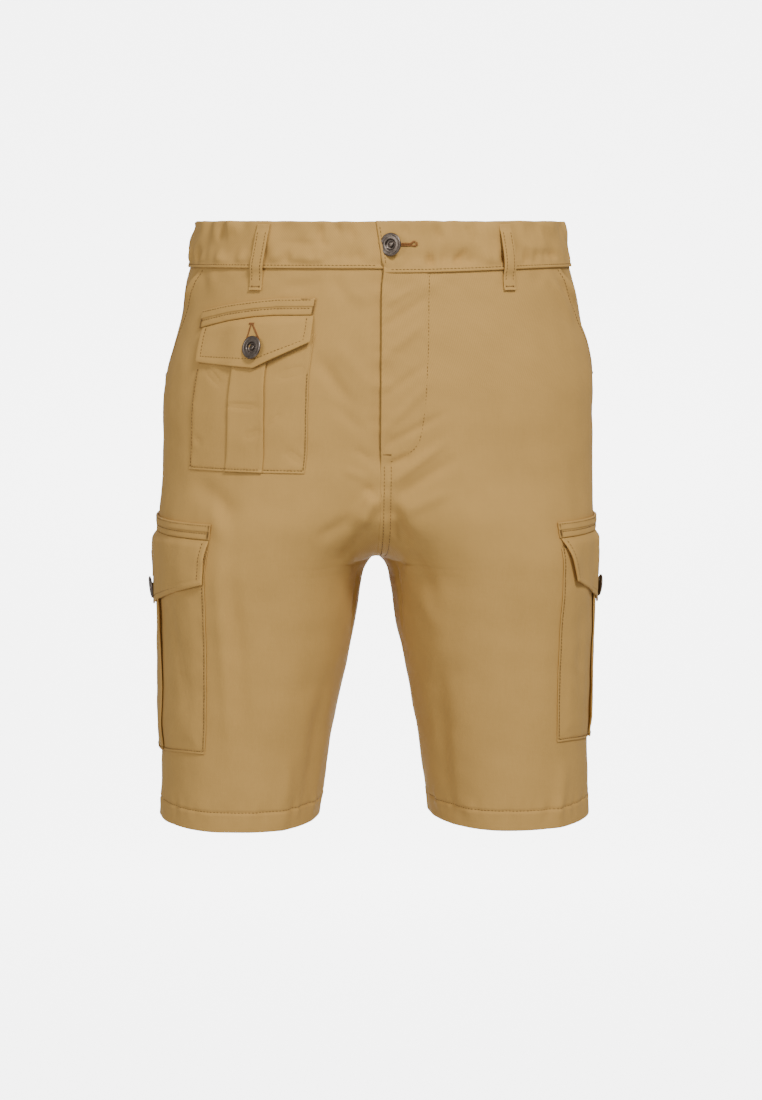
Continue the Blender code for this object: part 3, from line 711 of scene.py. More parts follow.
def panel_height(side, front, q, drop):
    """The height of a panel's outer face at a distance q from the side seam: seams dip, stitched rows
    pull in and pucker, and the fly is thicker."""
    points = bare(side, q if front else -q, drop)
    inner = panel_seam(front, drop) - q
    body = 1 - smooth((drop - CROTCH) / 8)
    sewn_body = body * (smooth((drop - 194) / 6) if front else 1)
    height = np.zeros(np.shape(q))
    if side == RIGHT:
        height = height - TUCK * smooth((1.3 - inner) / 2.2) * body
        if front:
            height = height - 1.7 * smooth((SHALLOW - inner) / 10) * (1 - smooth((drop - 190) / 20))
    else:
        for at in CENTRE_STITCHES:
            height = height + sewn_body * groove(inner, at)
        height = height + 0.35 * sewn_body * bell(inner - 4, 4)
    if front:
        closed = smooth((drop - MOUTH_END + 3) / 6)
        height = height - TUCK * smooth((1.3 - q) / 2.2) * closed
        from_mouth = q - mouth_line(drop)
        gape = (1.2 + 3.6 * bell(drop - 57, 12) + 0.7 * uneven(points, 25, 60, 3)) * smooth((drop - 40) / 8)
        height = height + (1 - closed) * (gape * np.exp(-np.clip(from_mouth, 0, None) / 8)
                                          + groove(from_mouth, MOUTH_STITCH))
    else:
        height = height - TUCK * smooth((1.3 - inner) / 2.2) * (1 - body)
    if front and side == LEFT:
        cover = smooth((fly_line(drop) - inner) / 2.4) * smooth((199 - drop) / 4)
        lip = 1.2 * bell(inner, 4.5) * (1 - smooth((drop - 180) / 16))
        height = height + lip + 0.75 * cover + groove(inner, fly_line(drop)) * smooth((200 - drop) / 4)
    hem = drop - (LENGTH - HEM_STITCH)
    height = height + 1.1 * bell(hem, 8) * uneven(points, 9, 17, 11, (1, 1, 0.25)) + groove(hem, 0, 0.9, 1.0)
    height = height + 0.25 * smooth(hem / 3)
    band = drop - waist_seam(side, q if front else -q)
    height = height + 0.9 * bell(band - 10, 6) * uneven(points, 12, 26, 21, (1, 1, 0.3))
    height = height - 0.35 * bell(band, 4)
    pull = uneven(points, 8, 17, 31, (0.2, 0.2, 1))
    return height + 0.6 * bell(inner - 3, 9) * pull * body


EVEN_BETWEEN = (200.0, 340.0)
NEAR = np.array((0.0, 0.2, 0.5, 1.0, 2.0, 3.6, 5.5, 6.5, 7.5, 9.0))
FAR = np.array((11.0, 9.0, 8.0, 7.0, 5.0, 3.1, 2.2, 1.3, 0.6, 0.2, -0.2, -0.4))
FAR_REACH = np.array((0, 0, 0, 0, 0, 0, 0, 0, 0.12, 0.35, 0.7, 1))


def even_run(run, drop):
    """The width of a panel, passing evenly over the crotch's level, where the real one jumps."""
    high, low = EVEN_BETWEEN
    even = np.interp(drop, EVEN_BETWEEN, run(np.array(EVEN_BETWEEN)))
    return np.where((drop > high) & (drop < low), even, run(drop))


UNDER_BAND = 5.0               # how far the panels reach up behind the waistband
PANEL_TOP = WAISTBAND - UNDER_BAND
BENT_TO = 60.0                 # rows above this bend with the waistband's seam
PANEL_ROWS = np.concatenate([
    np.linspace(PANEL_TOP, BENT_TO, 14)[:-1], np.arange(BENT_TO, 270, 2.6), np.arange(270, 284, 2.0),
    np.arange(284, 302, 1.0), np.arange(302, LENGTH - 26, 2.6), np.linspace(LENGTH - 25, LENGTH - 1, 21),
    LENGTH - np.array((0.5, 0.2, 0.0))])


def bent(side, u, level):
    """The drop of a row of a panel: the upper rows bend with the waistband's seam."""
    top = waist_seam(side, u) - UNDER_BAND
    share = (BENT_TO - level) / (BENT_TO - PANEL_TOP)
    return np.where(level < BENT_TO, BENT_TO - (BENT_TO - top) * share, level + 0 * u)


def panel(name, side, front):
    way = 1 if front else -1
    run = front_run if front else back_run
    level = PANEL_ROWS[:, None]
    legs = smooth((level - CROTCH) / 25)
    if front:
        outer = mouth_line(level) - 6 * smooth((level - MOUTH_END + 4) / 8)
        reach = (7.6 if side == RIGHT else 0) * (1 - legs)
    else:
        outer = np.full(level.shape, -0.4)
        reach = (7.6 if side == RIGHT else 0) * (1 - legs) + 6.6 * legs
    seam = panel_seam(front, level)
    near = outer + NEAR
    far = seam - FAR + reach * FAR_REACH
    even = even_run(run, level) - FAR[0]
    share = np.linspace(0, 1, 92 if front else 98)[None, 1:-1]
    start = near[:, -1:]
    middle = start + (even - start) * share + (far[:, :1] - even) * share ** 4
    q = np.concatenate([near, middle, far], axis=1)
    drop = bent(side, way * q, level)
    high = panel_height(side, front, q, drop)
    folded = smooth((drop - (LENGTH - HEM_STITCH - 1)) / 1.5)
    edge = np.minimum(rim(q - q[:, :1]), rim(q[:, -1:] - q))
    edge = np.minimum(edge, rim(LENGTH - drop))
    high, low = rounded(high, high - CLOTH - 1.1 * folded, edge)
    at_hem = bare(side, way * q, LENGTH + 0 * q)
    ripple = 0.7 * uneven(at_hem, 40, 110, 43) * smooth((drop - LENGTH + 40) / 40)
    shell(name, side, way * q, drop + ripple, high, low)


def facing(name, side):
    """The hip piece behind the slanted mouth, from under the back panel to under the front one."""
    level = spread(MOUTH_END + 8 - PANEL_TOP, 3.2)[:, None] + PANEL_TOP
    share = np.linspace(0, 1, 30)[None, :]
    q = -6 + (mouth_line(level) + 18) * share
    drop = bent(side, q, level)
    under = np.maximum(smooth((q - mouth_line(drop) + 3) / 10), smooth((drop - 118) / 18))
    below = smooth((drop - waist_seam(side, q) + 1) / 8)
    slack = (0.8 * under + 5.5 * bell(drop - 55, 14) * bell(q - mouth_line(drop) + 1, 8)) * below
    high = -0.3 - 0.5 * below - slack - TUCK * smooth((1.3 - q) / 2.2) * below
    shell(name, side, q, drop, high, high - CLOTH)


# ---------------------------------------------------------------- waist

BAND_HIGH, BAND_LOW = 1.35, -0.4
BAND_JOIN = -0.6               # where its inner face meets the panels
BAND_STITCH = 2.6
BAND_QUARTER = 226.0           # about the length of a quarter of it
BAND_COVER = 5.5               # this much of its lower edge lies over the panels
BAND_CREASES = (               # as CREASES, on the waistband alone
    (RIGHT, 171, 2, 172, 12, 2.6, -0.9), (RIGHT, 172, 13, 180, 19, 2.6, -0.7),
    (RIGHT, 140, 15, 171, 17, 3.0, -0.45), (RIGHT, 176, 23, 184, 33, 2.6, -0.8),
    (RIGHT, 190, 24, 192, 34, 2.4, -0.6), (RIGHT, 196, 3, 200, 12, 2.6, -0.7),
    (RIGHT, 213, 2, 214, 14, 2.6, -0.7), (RIGHT, 184, 1, 188, 8, 2.6, -0.6),
    (RIGHT, 206, 23, 209, 32, 2.4, -0.5), (RIGHT, 147, 24, 149, 32, 2.6, -0.6),
    (RIGHT, 92, 2, 94, 12, 2.6, -0.6), (RIGHT, 76, 3, 78, 13, 2.6, -0.6),
    (LEFT, 152, 3, 146, 14, 3.0, -1.0), (LEFT, 157, 22, 166, 31, 3.0, -1.0),
    (LEFT, 168, 28, 171, 36, 2.4, -0.6), (LEFT, 190, 26, 188, 34, 2.6, -0.7),
    (LEFT, 178, 3, 176, 13, 2.6, -0.8), (LEFT, 206, 2, 204, 10, 2.6, -0.5),
    (LEFT, 88, 24, 58, 27, 4.0, -0.6), (LEFT, 74, 3, 70, 12, 3.0, -0.6),
    (LEFT, 100, 17, 82, 24, 4.0, 0.5), (LEFT, -60, 3, -62, 13, 2.8, -0.8),
    (LEFT, -96, 22, -90, 33, 2.8, -0.8), (LEFT, -160, 3, -154, 14, 2.8, -0.8),
    (RIGHT, -70, 22, -76, 33, 2.8, -0.8), (RIGHT, -130, 3, -126, 14, 2.8, -0.9),
    (RIGHT, -176, 20, -170, 33, 2.8, -0.7),
)


def band_height(side, u, drop):
    """The waistband's outer face: puckered at both edges, its lower end sunk under the upper one."""
    points = bare(side, u, drop)
    below = waist_seam(side, u) - drop
    upper = uneven(points, 11, 24, 77, (1, 1, 0.45)) * bell(drop - 1, 13)
    lower = uneven(points, 9, 20, 76, (1, 1, 0.4)) * bell(below - 8, 9)
    pucker = 2.6 * upper + 3.2 * lower + 1.5 * uneven(points, 18, 45, 78)
    for own, *row in BAND_CREASES:
        pucker = pucker + np.where(side == own, crease_height(row, u, drop), 0)
    ahead = (side == RIGHT) & (u > 0)
    past = u - front_run(drop)
    sunk = np.where(ahead, 1.9 * smooth((past + 14) / 12) + 1.0 * smooth(past / 6), 0)
    calm = 1 - 0.6 * np.where(u > 0, smooth((past + 22) / 15), 0)
    free = smooth((below - 1.5) / 8)
    seam = 0.5 * bell(below - 1, 2.2) + groove(below, BAND_STITCH + 0.8, 0.4)
    return BAND_HIGH + pucker * calm * free + seam - sunk


def end_over(drop):
    """How far the waistband's upper end goes past the centre: less lower down."""
    return FLY_OVER * (1 - 1.06 * drop / WAISTBAND)


def waistband():
    """One open strip from its upper end at the centre, round the wearer's left, to the end underneath."""
    rows = np.concatenate([EDGE, np.linspace(3, 30, 12), (31.5, 33, 34.4, 35.4, 36.3, 36.7, WAISTBAND)])
    level = (WAISTBAND - (WAISTBAND - rows) * (1 + BAND_RISE / WAISTBAND))[:, None]
    ends = np.array((0, 0.2, 0.5, 1.0, 1.8, 2.6, 3.4, 5.0)) / BAND_QUARTER
    front = np.concatenate([ends, np.linspace(ends[-1], 1, 84)[1:]])
    back = np.linspace(0, 1, 92)[1:]
    runs, backs = front_run(level), back_run(level)
    parts = ((LEFT, (runs + end_over(level)) * (1 - front)),
             (LEFT, -backs * back),
             (RIGHT, -backs * back[-2::-1]),
             (RIGHT, runs * np.linspace(0, 1, 88)), (RIGHT, runs + UNDERLAP * np.linspace(0, 1, 14)[1:]))
    u = np.concatenate([part for _, part in parts], axis=1)
    side = np.concatenate([np.full(part.shape, own) for own, part in parts], axis=1)
    drop = level * waist_seam(side, u) / WAISTBAND
    high = band_height(side, u, drop)
    below = waist_seam(side, u) - drop
    covering = smooth((BAND_COVER - below) / 1.5)
    low = high - (BAND_HIGH - BAND_LOW) * (1 - covering) - CLOTH * covering
    low = low + (BAND_JOIN - low) * bell(below - 4, 1.6)
    from_end = (BAND_QUARTER * np.concatenate([front, np.full(u.shape[1] - len(front), 1.0)]))[None, :]
    edge = np.minimum(np.minimum(rim(drop + BAND_RISE), rim(below)), rim(from_end))
    high, low = rounded(high, low, edge)
    wave = 0.6 * uneven(bare(side, u, 0 * drop), 45, 120, 51) * (1 - level / WAISTBAND)
    shell("waistband", side, u, drop + wave, high, low)


def belt_loop(number, side, u_top, u_bottom):
    """A folded strip over the waistband, arched for the belt, its lower end tacked to the panel."""
    across = spread(LOOP_WIDTH, 1.25) - LOOP_WIDTH / 2
    level = spread(LOOP_END - 0.4, 1.9)[:, None] + 0.4
    share = level / LOOP_END
    lean = 1.6 * np.sin(5 * share + number) * share * (1 - share)
    u = u_top + (u_bottom - u_top) * share + lean + across[None, :]
    drop = level + 0 * u
    on_band = 1 - smooth((drop - waist_seam(side, u) + 1) / 7)
    arch = 1.7 * smooth(share / 0.2) * smooth((0.86 - share) / 0.3)
    low = 0.35 + (BAND_HIGH + 0.35) * on_band + arch + 0.9 * smooth((drop - LOOP_END + 2.5) / 2.5)
    edge_off = LOOP_WIDTH / 2 - np.abs(across)[None, :]
    tacks = 0.3 * bell(drop - LOOP_END + 3, 1.6) + 0.45 * bell(drop - 4.5, 1.6)
    high = low + 1.5 + groove(edge_off, LOOP_STITCH, 0.22, 0.8) - tacks
    edge = np.minimum(rim(edge_off), np.minimum(rim(drop - 0.4), rim(LOOP_END - drop)))
    high, low = rounded(high, low, edge)
    name = f"belt_loop_{number}"
    shell(name, side, u, drop, high, low)
    for off in (-1, 1):
        column = int(np.argmin(np.abs(across - off * (LOOP_WIDTH / 2 - LOOP_STITCH))))
        inside = (level[:, 0] > 6) & (level[:, 0] < LOOP_END - 6)
        line, down, top = (grid[inside, column] for grid in (u, drop, high))
        sew("thread_loops", side, line, down, top + 0.05, 2.7, 2.0, seed=number)
    tacked_at = LOOP_END - 3
    row, column = int(np.argmin(np.abs(level[:, 0] - tacked_at))), len(across) // 2
    place, height = u[row, column], high[row, column]
    tack("thread_loops", side, (place - 4.2, tacked_at), (place + 4.2, tacked_at), 2.6, height - 0.12)


# ---------------------------------------------------------------- pockets

BELLOWS = 0.85                 # thickness of one layer of a pocket
PATCH_GAP = 0.15               # a patch lies this far over the cloth
FLAP_STITCH = 5.3

# A fold of a box pleat, from the pocket's flat part to the raised strip, for the outer face and then for
# the inner one: how far inside the strip's edge, the layers below, and the share of the fold's opening
PLEAT = np.array((
    (-4.0, 1, 0.0, -4.0, 0, 0.0), (-1.5, 1, 0.0, -1.5, 0, 0.0), (1.0, 1, 0.0, 1.0, 0, 0.0),
    (4.0, 1, 0.0, 4.6, 0, 0.0), (5.0, 1.05, 0.0, 5.9, 0.25, 0.0), (5.2, 1.2, 0.0, 6.3, 1.2, 0.0),
    (5.0, 1.35, 0.1, 5.9, 2.1, 0.1), (3.5, 1.4, 0.35, 4.2, 2.3, 0.35),
    (1.6, 1.45, 0.75, 1.9, 2.35, 0.75), (0.4, 1.55, 1.0, 1.0, 2.4, 1.0),
    (0.0, 2.2, 1.0, 0.9, 2.5, 1.0), (0.3, 3.0, 1.0, 1.0, 2.6, 1.0),
    (1.2, 3.4, 0.95, 1.6, 2.55, 0.95), (3.5, 3.45, 0.7, 3.5, 2.45, 0.7),
    (7.0, 3.4, 0.35, 7.0, 2.4, 0.35)))


def pleated(starts, ends, strip_low, strip_high, opening, layer=BELLOWS):
    """Places and heights across a patch with a box pleat. starts and ends are its side edges, strip_low and
    strip_high the raised strip's edges, and opening how far its folds stand open, all by rows."""
    x, high, gap_high, x_low, low, gap_low = PLEAT.T

    def flat_part(a, b, near_edge):
        off = np.array(EDGE + (1.6, 2.2, 3.2))
        width = np.abs(b - a)
        inner = np.linspace(0, 1, max(3, int(width.max() / STEP)))[None, 1:]
        start = off[-1] / width
        share = np.concatenate([off[None, :] / width, start + (1 - start) * inner], axis=1)
        place = a + (b - a) * share
        return place if near_edge else place[:, ::-1]

    low_fold, low_fold_under = strip_low + x[None, :], strip_low + x_low[None, :]
    high_fold, high_fold_under = strip_high - x[None, ::-1], strip_high - x_low[None, ::-1]
    heights = PATCH_GAP + layer * high[None, :] + opening * gap_high[None, :]
    lows = PATCH_GAP + layer * low[None, :] + opening * gap_low[None, :]
    first = flat_part(starts, low_fold[:, :1], True)[:, :-1]
    last = flat_part(ends, high_fold[:, -1:], True)[:, ::-1][:, 1:]
    count = max(3, int((high_fold[:, :1] - low_fold[:, -1:]).max() / STEP))
    across = np.linspace(0, 1, count)[None, 1:-1]
    strip = low_fold[:, -1:] + (high_fold[:, :1] - low_fold[:, -1:]) * across
    u = np.concatenate([first, low_fold, strip, high_fold, last], axis=1)
    u_low = np.concatenate([first, low_fold_under, strip, high_fold_under, last], axis=1)

    def all_across(body, folds):
        return np.concatenate([body + 0 * first, folds, folds[:, -1:] + 0 * strip, folds[:, ::-1],
                               body + 0 * last], axis=1)

    return u, u_low, all_across(PATCH_GAP + layer, heights), all_across(PATCH_GAP, lows)


PATCH_CREASES = (              # as CREASES, on the patches alone
    (RIGHT, 122, 152, 148, 153, 2.4, -0.5), (RIGHT, 139, 178, 151, 173, 3.0, -0.45),
    (RIGHT, 157, 168, 168, 159, 2.6, -0.4), (RIGHT, 93, 122, 109, 134, 3.4, -0.5),
    (RIGHT, 175, 190, 187, 198, 3.6, -0.45), (RIGHT, 164, 126, 184, 121, 5.0, -0.5),
    (RIGHT, 84, 178, 92, 186, 3.4, -0.3), (RIGHT, 70, 330, 90, 420, 9.0, -0.35),
    (RIGHT, 60, 300, 95, 318, 7.0, 0.25), (LEFT, 72, 330, 66, 420, 8.0, -0.35),
    (LEFT, 60, 390, 92, 372, 6.0, 0.25), (RIGHT, -60, 330, -50, 400, 9.0, -0.3),
    (LEFT, -58, 310, -66, 390, 9.0, -0.3),
)


def between(first, last, share):
    return first + (last - first) * share


def sagging(share, from_front):
    """How much of its sag a patch has at a share of its height and a distance from its front edge."""
    return share * smooth(from_front / 90)


def patch_levels(start, bottom):
    """The rows of a patch, closer together at its lower edge."""
    return (start + spread(bottom - start, STEP, (0.0, 1.0), EDGE + (1.7, 2.4, 3.1, 4.2)))[:, None]


def patch(name, side, level, starts, ends, strip, opening, layer, swell, sag=0.0):
    """A pleated patch, its side and lower edges folded in and stitched down. level is the drop by rows,
    the lowest row its lower edge."""
    u, u_low, high, low = pleated(starts, ends, strip[0], strip[1], opening, layer)
    drop = level + sag * sagging((level - level[0]) / (level[-1] - level[0]), ends - u)
    from_side = np.minimum(np.abs(u - starts), np.abs(ends - u))
    from_end = level[-1] - level + 0 * u
    nearest = np.minimum(from_side, from_end)
    points = bare(side, u, drop)
    loft = smooth((nearest - 3) / 14)
    puff = swell * loft * (1 + 0.6 * uneven(points, 40, 90, 61)) + 0.25 * loft * uneven(points, 14, 40, 62)
    pucker = 0.22 * bell(nearest - 3, 5) * uneven(points, 7, 16, 63)
    dent = groove(from_side, 1.6, 0.5) + groove(from_end, 2.4, 0.5)
    for own, *row in PATCH_CREASES:
        dent = dent + np.where(side == own, crease_height(row, u, drop) * smooth(nearest / 6), 0)
    edge = np.minimum(rim(from_side), rim(from_end))
    high, low = rounded(high + 0.4 * bell(nearest, 2.6) + dent + pucker + puff, low + puff, edge)
    shell(name, side, u, drop, high, low, u_low)


def flap(name, side, knots, u_top, drop_top, u_tip, drop_tip, base, lift, thick=FOLDED):
    """A pointed flap. Shares across run from 0 to 1 and shares down from its sewn edge to its free one."""
    def at(s, t):
        high_u, low_u = np.interp(s, knots, u_top), np.interp(s, knots, u_tip)
        high_drop, low_drop = drop_top(high_u), np.interp(s, knots, drop_tip)
        u, drop = high_u + t * (low_u - high_u), high_drop + t * (low_drop - high_drop)
        return u, drop, base(u, drop) + lift(s, t) + 0.35 * t * uneven(bare(side, u, drop), 25, 60, 71)

    width = u_top[-1] - u_top[0]
    length = max(drop_tip) - float(drop_top(np.array(u_top[0])))
    tip_share = knots[1]
    low_part = spread(width * tip_share, 2.2, EDGE, (0,))
    high_part = spread(width * (1 - tip_share), 2.2, (0,), EDGE)
    s = (np.concatenate([low_part, width * tip_share + high_part[1:]]) / width)[None, :]
    t = (spread(length, 2.2, (0, 0.5, 1.0), EDGE + (4.2, 5.3, 6.4)) / length)[:, None]
    u, drop, low = at(s, t)
    side_off = np.minimum(u - u[:, :1], u[:, -1:] - u)
    end_off = 0.93 * (drop[-1:] - drop)
    inset = np.minimum(side_off, end_off)
    seam = groove(inset, FLAP_STITCH, 0.3, 0.9) + 0.35 * bell(inset - 1.5, 2.6)
    full = smooth((drop - drop[:1]) / 6)
    high = low + 0.9 + (thick - 0.9) * full + seam
    edge = np.minimum(rim(inset, 0.9), 0.4 + 0.6 * rim(drop - drop[:1]))
    high, low = rounded(high, low, edge)
    shell(name, side, u, drop, high, low)

    def stitch_path(points, seed):
        s, t = dense([(a * width, b * length) for a, b in points])
        u, drop, low = at(s / width, t / length)
        sew("thread_pockets", side, u, drop, low + thick - 0.18, 2.9, 2.1, seed=seed)

    inside, start, down = FLAP_STITCH / width, 0.04, 1 - (FLAP_STITCH + 0.4) / length
    stitch_path([(inside, start), (inside, down), (tip_share, down), (1 - inside, down),
                 (1 - inside, start)], 81)
    return at


def strip_piece(name, side, u, top, bottom, ledge, heights):
    """The band over a pocket's mouth: an upper welt that steps down to a stitched lower one."""
    past_ledge = (-0.03, -0.012, 0, 0.02, 0.06, 0.11, 0.16)
    share = np.concatenate([(0, 0.015, 0.035, 0.08, 0.17, 0.3, 0.4), ledge + np.array(past_ledge),
                            (0.78, 0.9, 0.96, 0.985, 1.0)])[:, None]
    drop = top + (bottom - top) * share
    u = u + 0 * share
    upper, lower = heights
    size = np.mean(bottom - top)
    step = smooth((ledge + 0.02 - share) / 0.05)
    dents = groove(share * size, 1.6, 0.3) + groove(share * size, (ledge + 0.11) * size, 0.3)
    pucker = 0.16 * uneven(bare(side, u, drop), 7, 15, 64)
    high = lower + (upper - lower) * step + dents + pucker + 0 * u
    low = PATCH_GAP + 0 * u
    from_side, from_seam = np.minimum(u - u[:, :1], u[:, -1:] - u), np.minimum(share, 1 - share) * size
    edge = np.minimum(rim(from_side), rim(from_seam, 0.9))
    high, low = rounded(high, low, edge)
    shell(name, side, u, drop, high, low)


UTILITY_OPENING, UTILITY_LAYER = 0.7, 0.62
# The patch by its drop: outer edge, the raised strip's two edges, inner edge
UTILITY_EDGES = np.array((
    (78, 80.5, 119.5, 149, 183), (92, 80.8, 119.5, 149.5, 185.5), (105, 81.2, 119.8, 150, 187),
    (123, 81.5, 120.2, 151, 188.7), (146, 81.5, 121.2, 153.6, 191.2), (171, 80.8, 121.4, 154.5, 192),
    (208, 80, 119.9, 154.8, 191)))


def utility_edges(drop):
    """The patch's outer edge, the raised strip's two edges and the patch's inner edge."""
    return [np.interp(drop, UTILITY_EDGES[:, 0], column) for column in UTILITY_EDGES[:, 1:].T]


def utility_mouth(u):
    """The drops of the upper and the lower edge of the band over the mouth."""
    return [np.interp(u, UTILITY_BAND[:, 0], column) for column in UTILITY_BAND[:, 1:].T]


def utility_patch():
    level = patch_levels(UTILITY_TOP, UTILITY_BOTTOM)
    share = (level - UTILITY_TOP) / (UTILITY_BOTTOM - UTILITY_TOP)
    starts, strip_outer, strip_inner, ends = utility_edges(level)
    opening = UTILITY_OPENING * (1 + 0.8 * np.sin(4 * share)) * (1 - 0.8 * smooth((share - 0.85) / 0.15))
    patch("utility_pocket", RIGHT, level, starts, ends, (strip_outer, strip_inner), opening,
          UTILITY_LAYER, 0.5)


def utility_band():
    first, last = UTILITY_BAND[0, 0], UTILITY_BAND[-1, 0]
    u = (first + spread(last - first, 2.4))[None, :]
    top, low = utility_mouth(u)
    strip_piece("utility_band", RIGHT, u, top, low, 0.5, (2.7, 2.1))


def utility_flap():
    """The pointed flap with its button and buttonhole."""
    def base(at, drop):
        hump = smooth((at - UTILITY_STRIP[0] + 20) / 24) * smooth((UTILITY_STRIP[1] + 20 - at) / 24)
        return PATCH_GAP + (0.85 + 2.3 * hump) * smooth((drop - utility_mouth(at)[1]) / 6.5)

    def lift(s, t):
        corner = smooth((s - 0.5) / 0.4)
        return 0.25 + t * (0.7 + 2.9 * corner * t + 0.9 * (1 - smooth(s / 0.2)))

    def sewn_at(u):
        return utility_mouth(u)[1] + 0.5

    u_top, u_tip, tip = UTILITY_FLAP.T
    at = flap("utility_flap", RIGHT, (0, 0.6, 1), u_top, sewn_at, u_tip, tip, base, lift)
    button("utility_button", RIGHT, *UTILITY_BUTTON, float(at(0.6, 0.6)[2]) + FOLDED + 0.25, -15, -6)
    first = 83.5
    drop = np.linspace(first, 97, 24)
    u = 129.5 + 3.7 * (drop - first) / 9.5
    low = base(u, drop) + lift(0.57 + 0 * u, (drop - 76.5) / 44.5)
    for way in (-1, 1):
        off = way * (0.4 + 4.0 * (drop - first) / 10)
        overcast("buttonhole_utility", RIGHT, u + off, drop, low + FOLDED)
    tack("buttonhole_utility", RIGHT, (u[0] - 2.4, first), (u[0] + 2.4, first), 1.8,
         low[0] + FOLDED + 0.3, 0.55, 0.28)


def utility_stitches():
    """Two rows on the band, one round the patch, and the tacks at the mouth's corners."""
    line = np.linspace(UTILITY_BAND[0, 0] + 1.5, UTILITY_BAND[-1, 0] - 1.5, 110)
    top, low = utility_mouth(line)
    sew("thread_pockets", RIGHT, line, top + 1.6, 2.5, 2.9, 2.1, seed=90)
    sew("thread_pockets", RIGHT, line, top + 0.61 * (low - top), 1.98, 2.9, 2.1, seed=91)
    rows = np.arange(122, UTILITY_BOTTOM - 2, 1.0)
    left, _, _, right = utility_edges(rows)
    u = np.concatenate([left + 1.6, np.arange(left[-1] + 2.4, right[-1] - 2, 1.0), right[::-1] - 1.6])
    drop = np.concatenate([rows, np.full(len(u) - 2 * len(rows), UTILITY_BOTTOM - 2.4), rows[::-1]])
    high = PATCH_GAP + UTILITY_LAYER + 0.25 + 0.25 * smooth((UTILITY_BOTTOM - 4 - drop) / 8)
    lifted = smooth((u - UTILITY_STRIP[0] + 1) / 2) * smooth((UTILITY_STRIP[1] + 1 - u) / 2)
    sew("thread_pockets", RIGHT, u, drop, high + 1.75 * lifted, 2.9, 2.1, seed=93)
    for start, end, width in (((72.6, 76), (73.6, 88), 2.2), ((178.5, 63), (179, 75), 2.0),
                              ((167, 62.6), (177, 62.3), 1.6)):
        tack("thread_pockets", RIGHT, start, end, width, 2.35, 0.7, 0.2)


def overcast(group, side, u, drop, out):
    """Close threads laid across a line, as around a buttonhole."""
    run = np.concatenate([[0], np.cumsum(np.hypot(np.diff(u), np.diff(drop)))])
    at = np.arange(0.2, run[-1], 0.5)
    along_u, along_drop = np.gradient(np.interp(at, run, u)), np.gradient(np.interp(at, run, drop))
    size = np.hypot(along_u, along_drop)
    reach = STATIONS[None, :] * 1.5
    threads(group, side, np.interp(at, run, u)[:, None] - reach * (along_drop / size)[:, None],
            np.interp(at, run, drop)[:, None] + reach * (along_u / size)[:, None],
            np.interp(at, run, out)[:, None] + 0.15 + 0 * reach, 0.27)


CARGO_START = CARGO_SEAM + 9   # the patch starts under its flap


def cargo_bottom(side):
    return CARGO_BOTTOM if side == RIGHT else CARGO_BOTTOM - 8


def cargo_shift(side):
    """How far the raised strip's lower end lies behind its upper one."""
    return 0 if side == RIGHT else -9


def cargo_patch(suffix, side, front_top, front_bottom, rear_top, rear_bottom):
    bottom = cargo_bottom(side)
    level = patch_levels(CARGO_START, bottom)
    share = (level - CARGO_START) / (bottom - CARGO_START)
    starts, ends = between(rear_top, rear_bottom, share), between(front_top, front_bottom, share)
    middle = CARGO_MIDDLE + cargo_shift(side) * share
    strip = (middle - CARGO_PLEAT + 1.5 * np.sin(4 * share),
             middle + CARGO_PLEAT + 1.2 * np.sin(5 * share + side))
    opening = 1.2 + 0.8 * np.sin(6 * share + 1 + side)
    opening = opening * smooth((1 - share) / 0.12) * smooth((share + 0.1) / 0.45)
    patch(f"cargo_pocket_{suffix}", side, level, starts, ends, strip, opening,
          BELLOWS, 1.1, CARGO_SAG)


def cargo_band(suffix, side, front_top, rear_top):
    u = (rear_top + spread(front_top - rear_top, 2.8))[None, :]
    strip_piece(f"cargo_band_{suffix}", side, u, CARGO_TOP + 0 * u, CARGO_SEAM + 0 * u, 0.5, (2.6, 2.0))


def cargo_flap(suffix, side, front_top, rear_top, front_corner):
    """The pointed flap with its button and buttonhole."""
    def base(at, drop):
        hump = smooth((CARGO_PLEAT + 8 - np.abs(at - CARGO_MIDDLE)) / 14)
        return PATCH_GAP + (2.3 * hump + 1.2) * smooth((drop - CARGO_SEAM) / 8)

    def lift(s, t):
        fold = 1.6 * bell(t - 0.4, 0.2) if side == RIGHT else 2.6 * smooth(t / 0.5)
        return 0.25 + t * (0.6 + 0.5 * t) + bell(s - 1, 0.07) * fold

    def sewn_at(u):
        return CARGO_SEAM + 0.5 + 0 * u

    sewn = (rear_top + 0.5, CARGO_MIDDLE, front_top - (0.5 if side == RIGHT else 1.5))
    free = (rear_top + 2, CARGO_MIDDLE, front_corner)
    tip = (CARGO_FLAP_CORNER, CARGO_FLAP_POINT, CARGO_FLAP_CORNER)
    at = flap(f"cargo_flap_{suffix}", side, (0, 0.5, 1), sewn, sewn_at, free, tip, base, lift)
    t = (CARGO_BUTTON - CARGO_SEAM) / (CARGO_FLAP_POINT - CARGO_SEAM)
    face = float(at(0.5, t)[2]) + FOLDED
    button(f"cargo_button_{suffix}", side, CARGO_MIDDLE, CARGO_BUTTON, face - 0.3, 6, 5)
    slit = [at(0.5, t) for t in np.linspace(0.28, 0.62, 18)]
    line, drop, low = (np.array([float(v) for v in column]) for column in zip(*slit))
    for way in (-1, 1):
        overcast(f"buttonhole_cargo_{suffix}", side, line + 0.9 * way, drop, low + FOLDED)


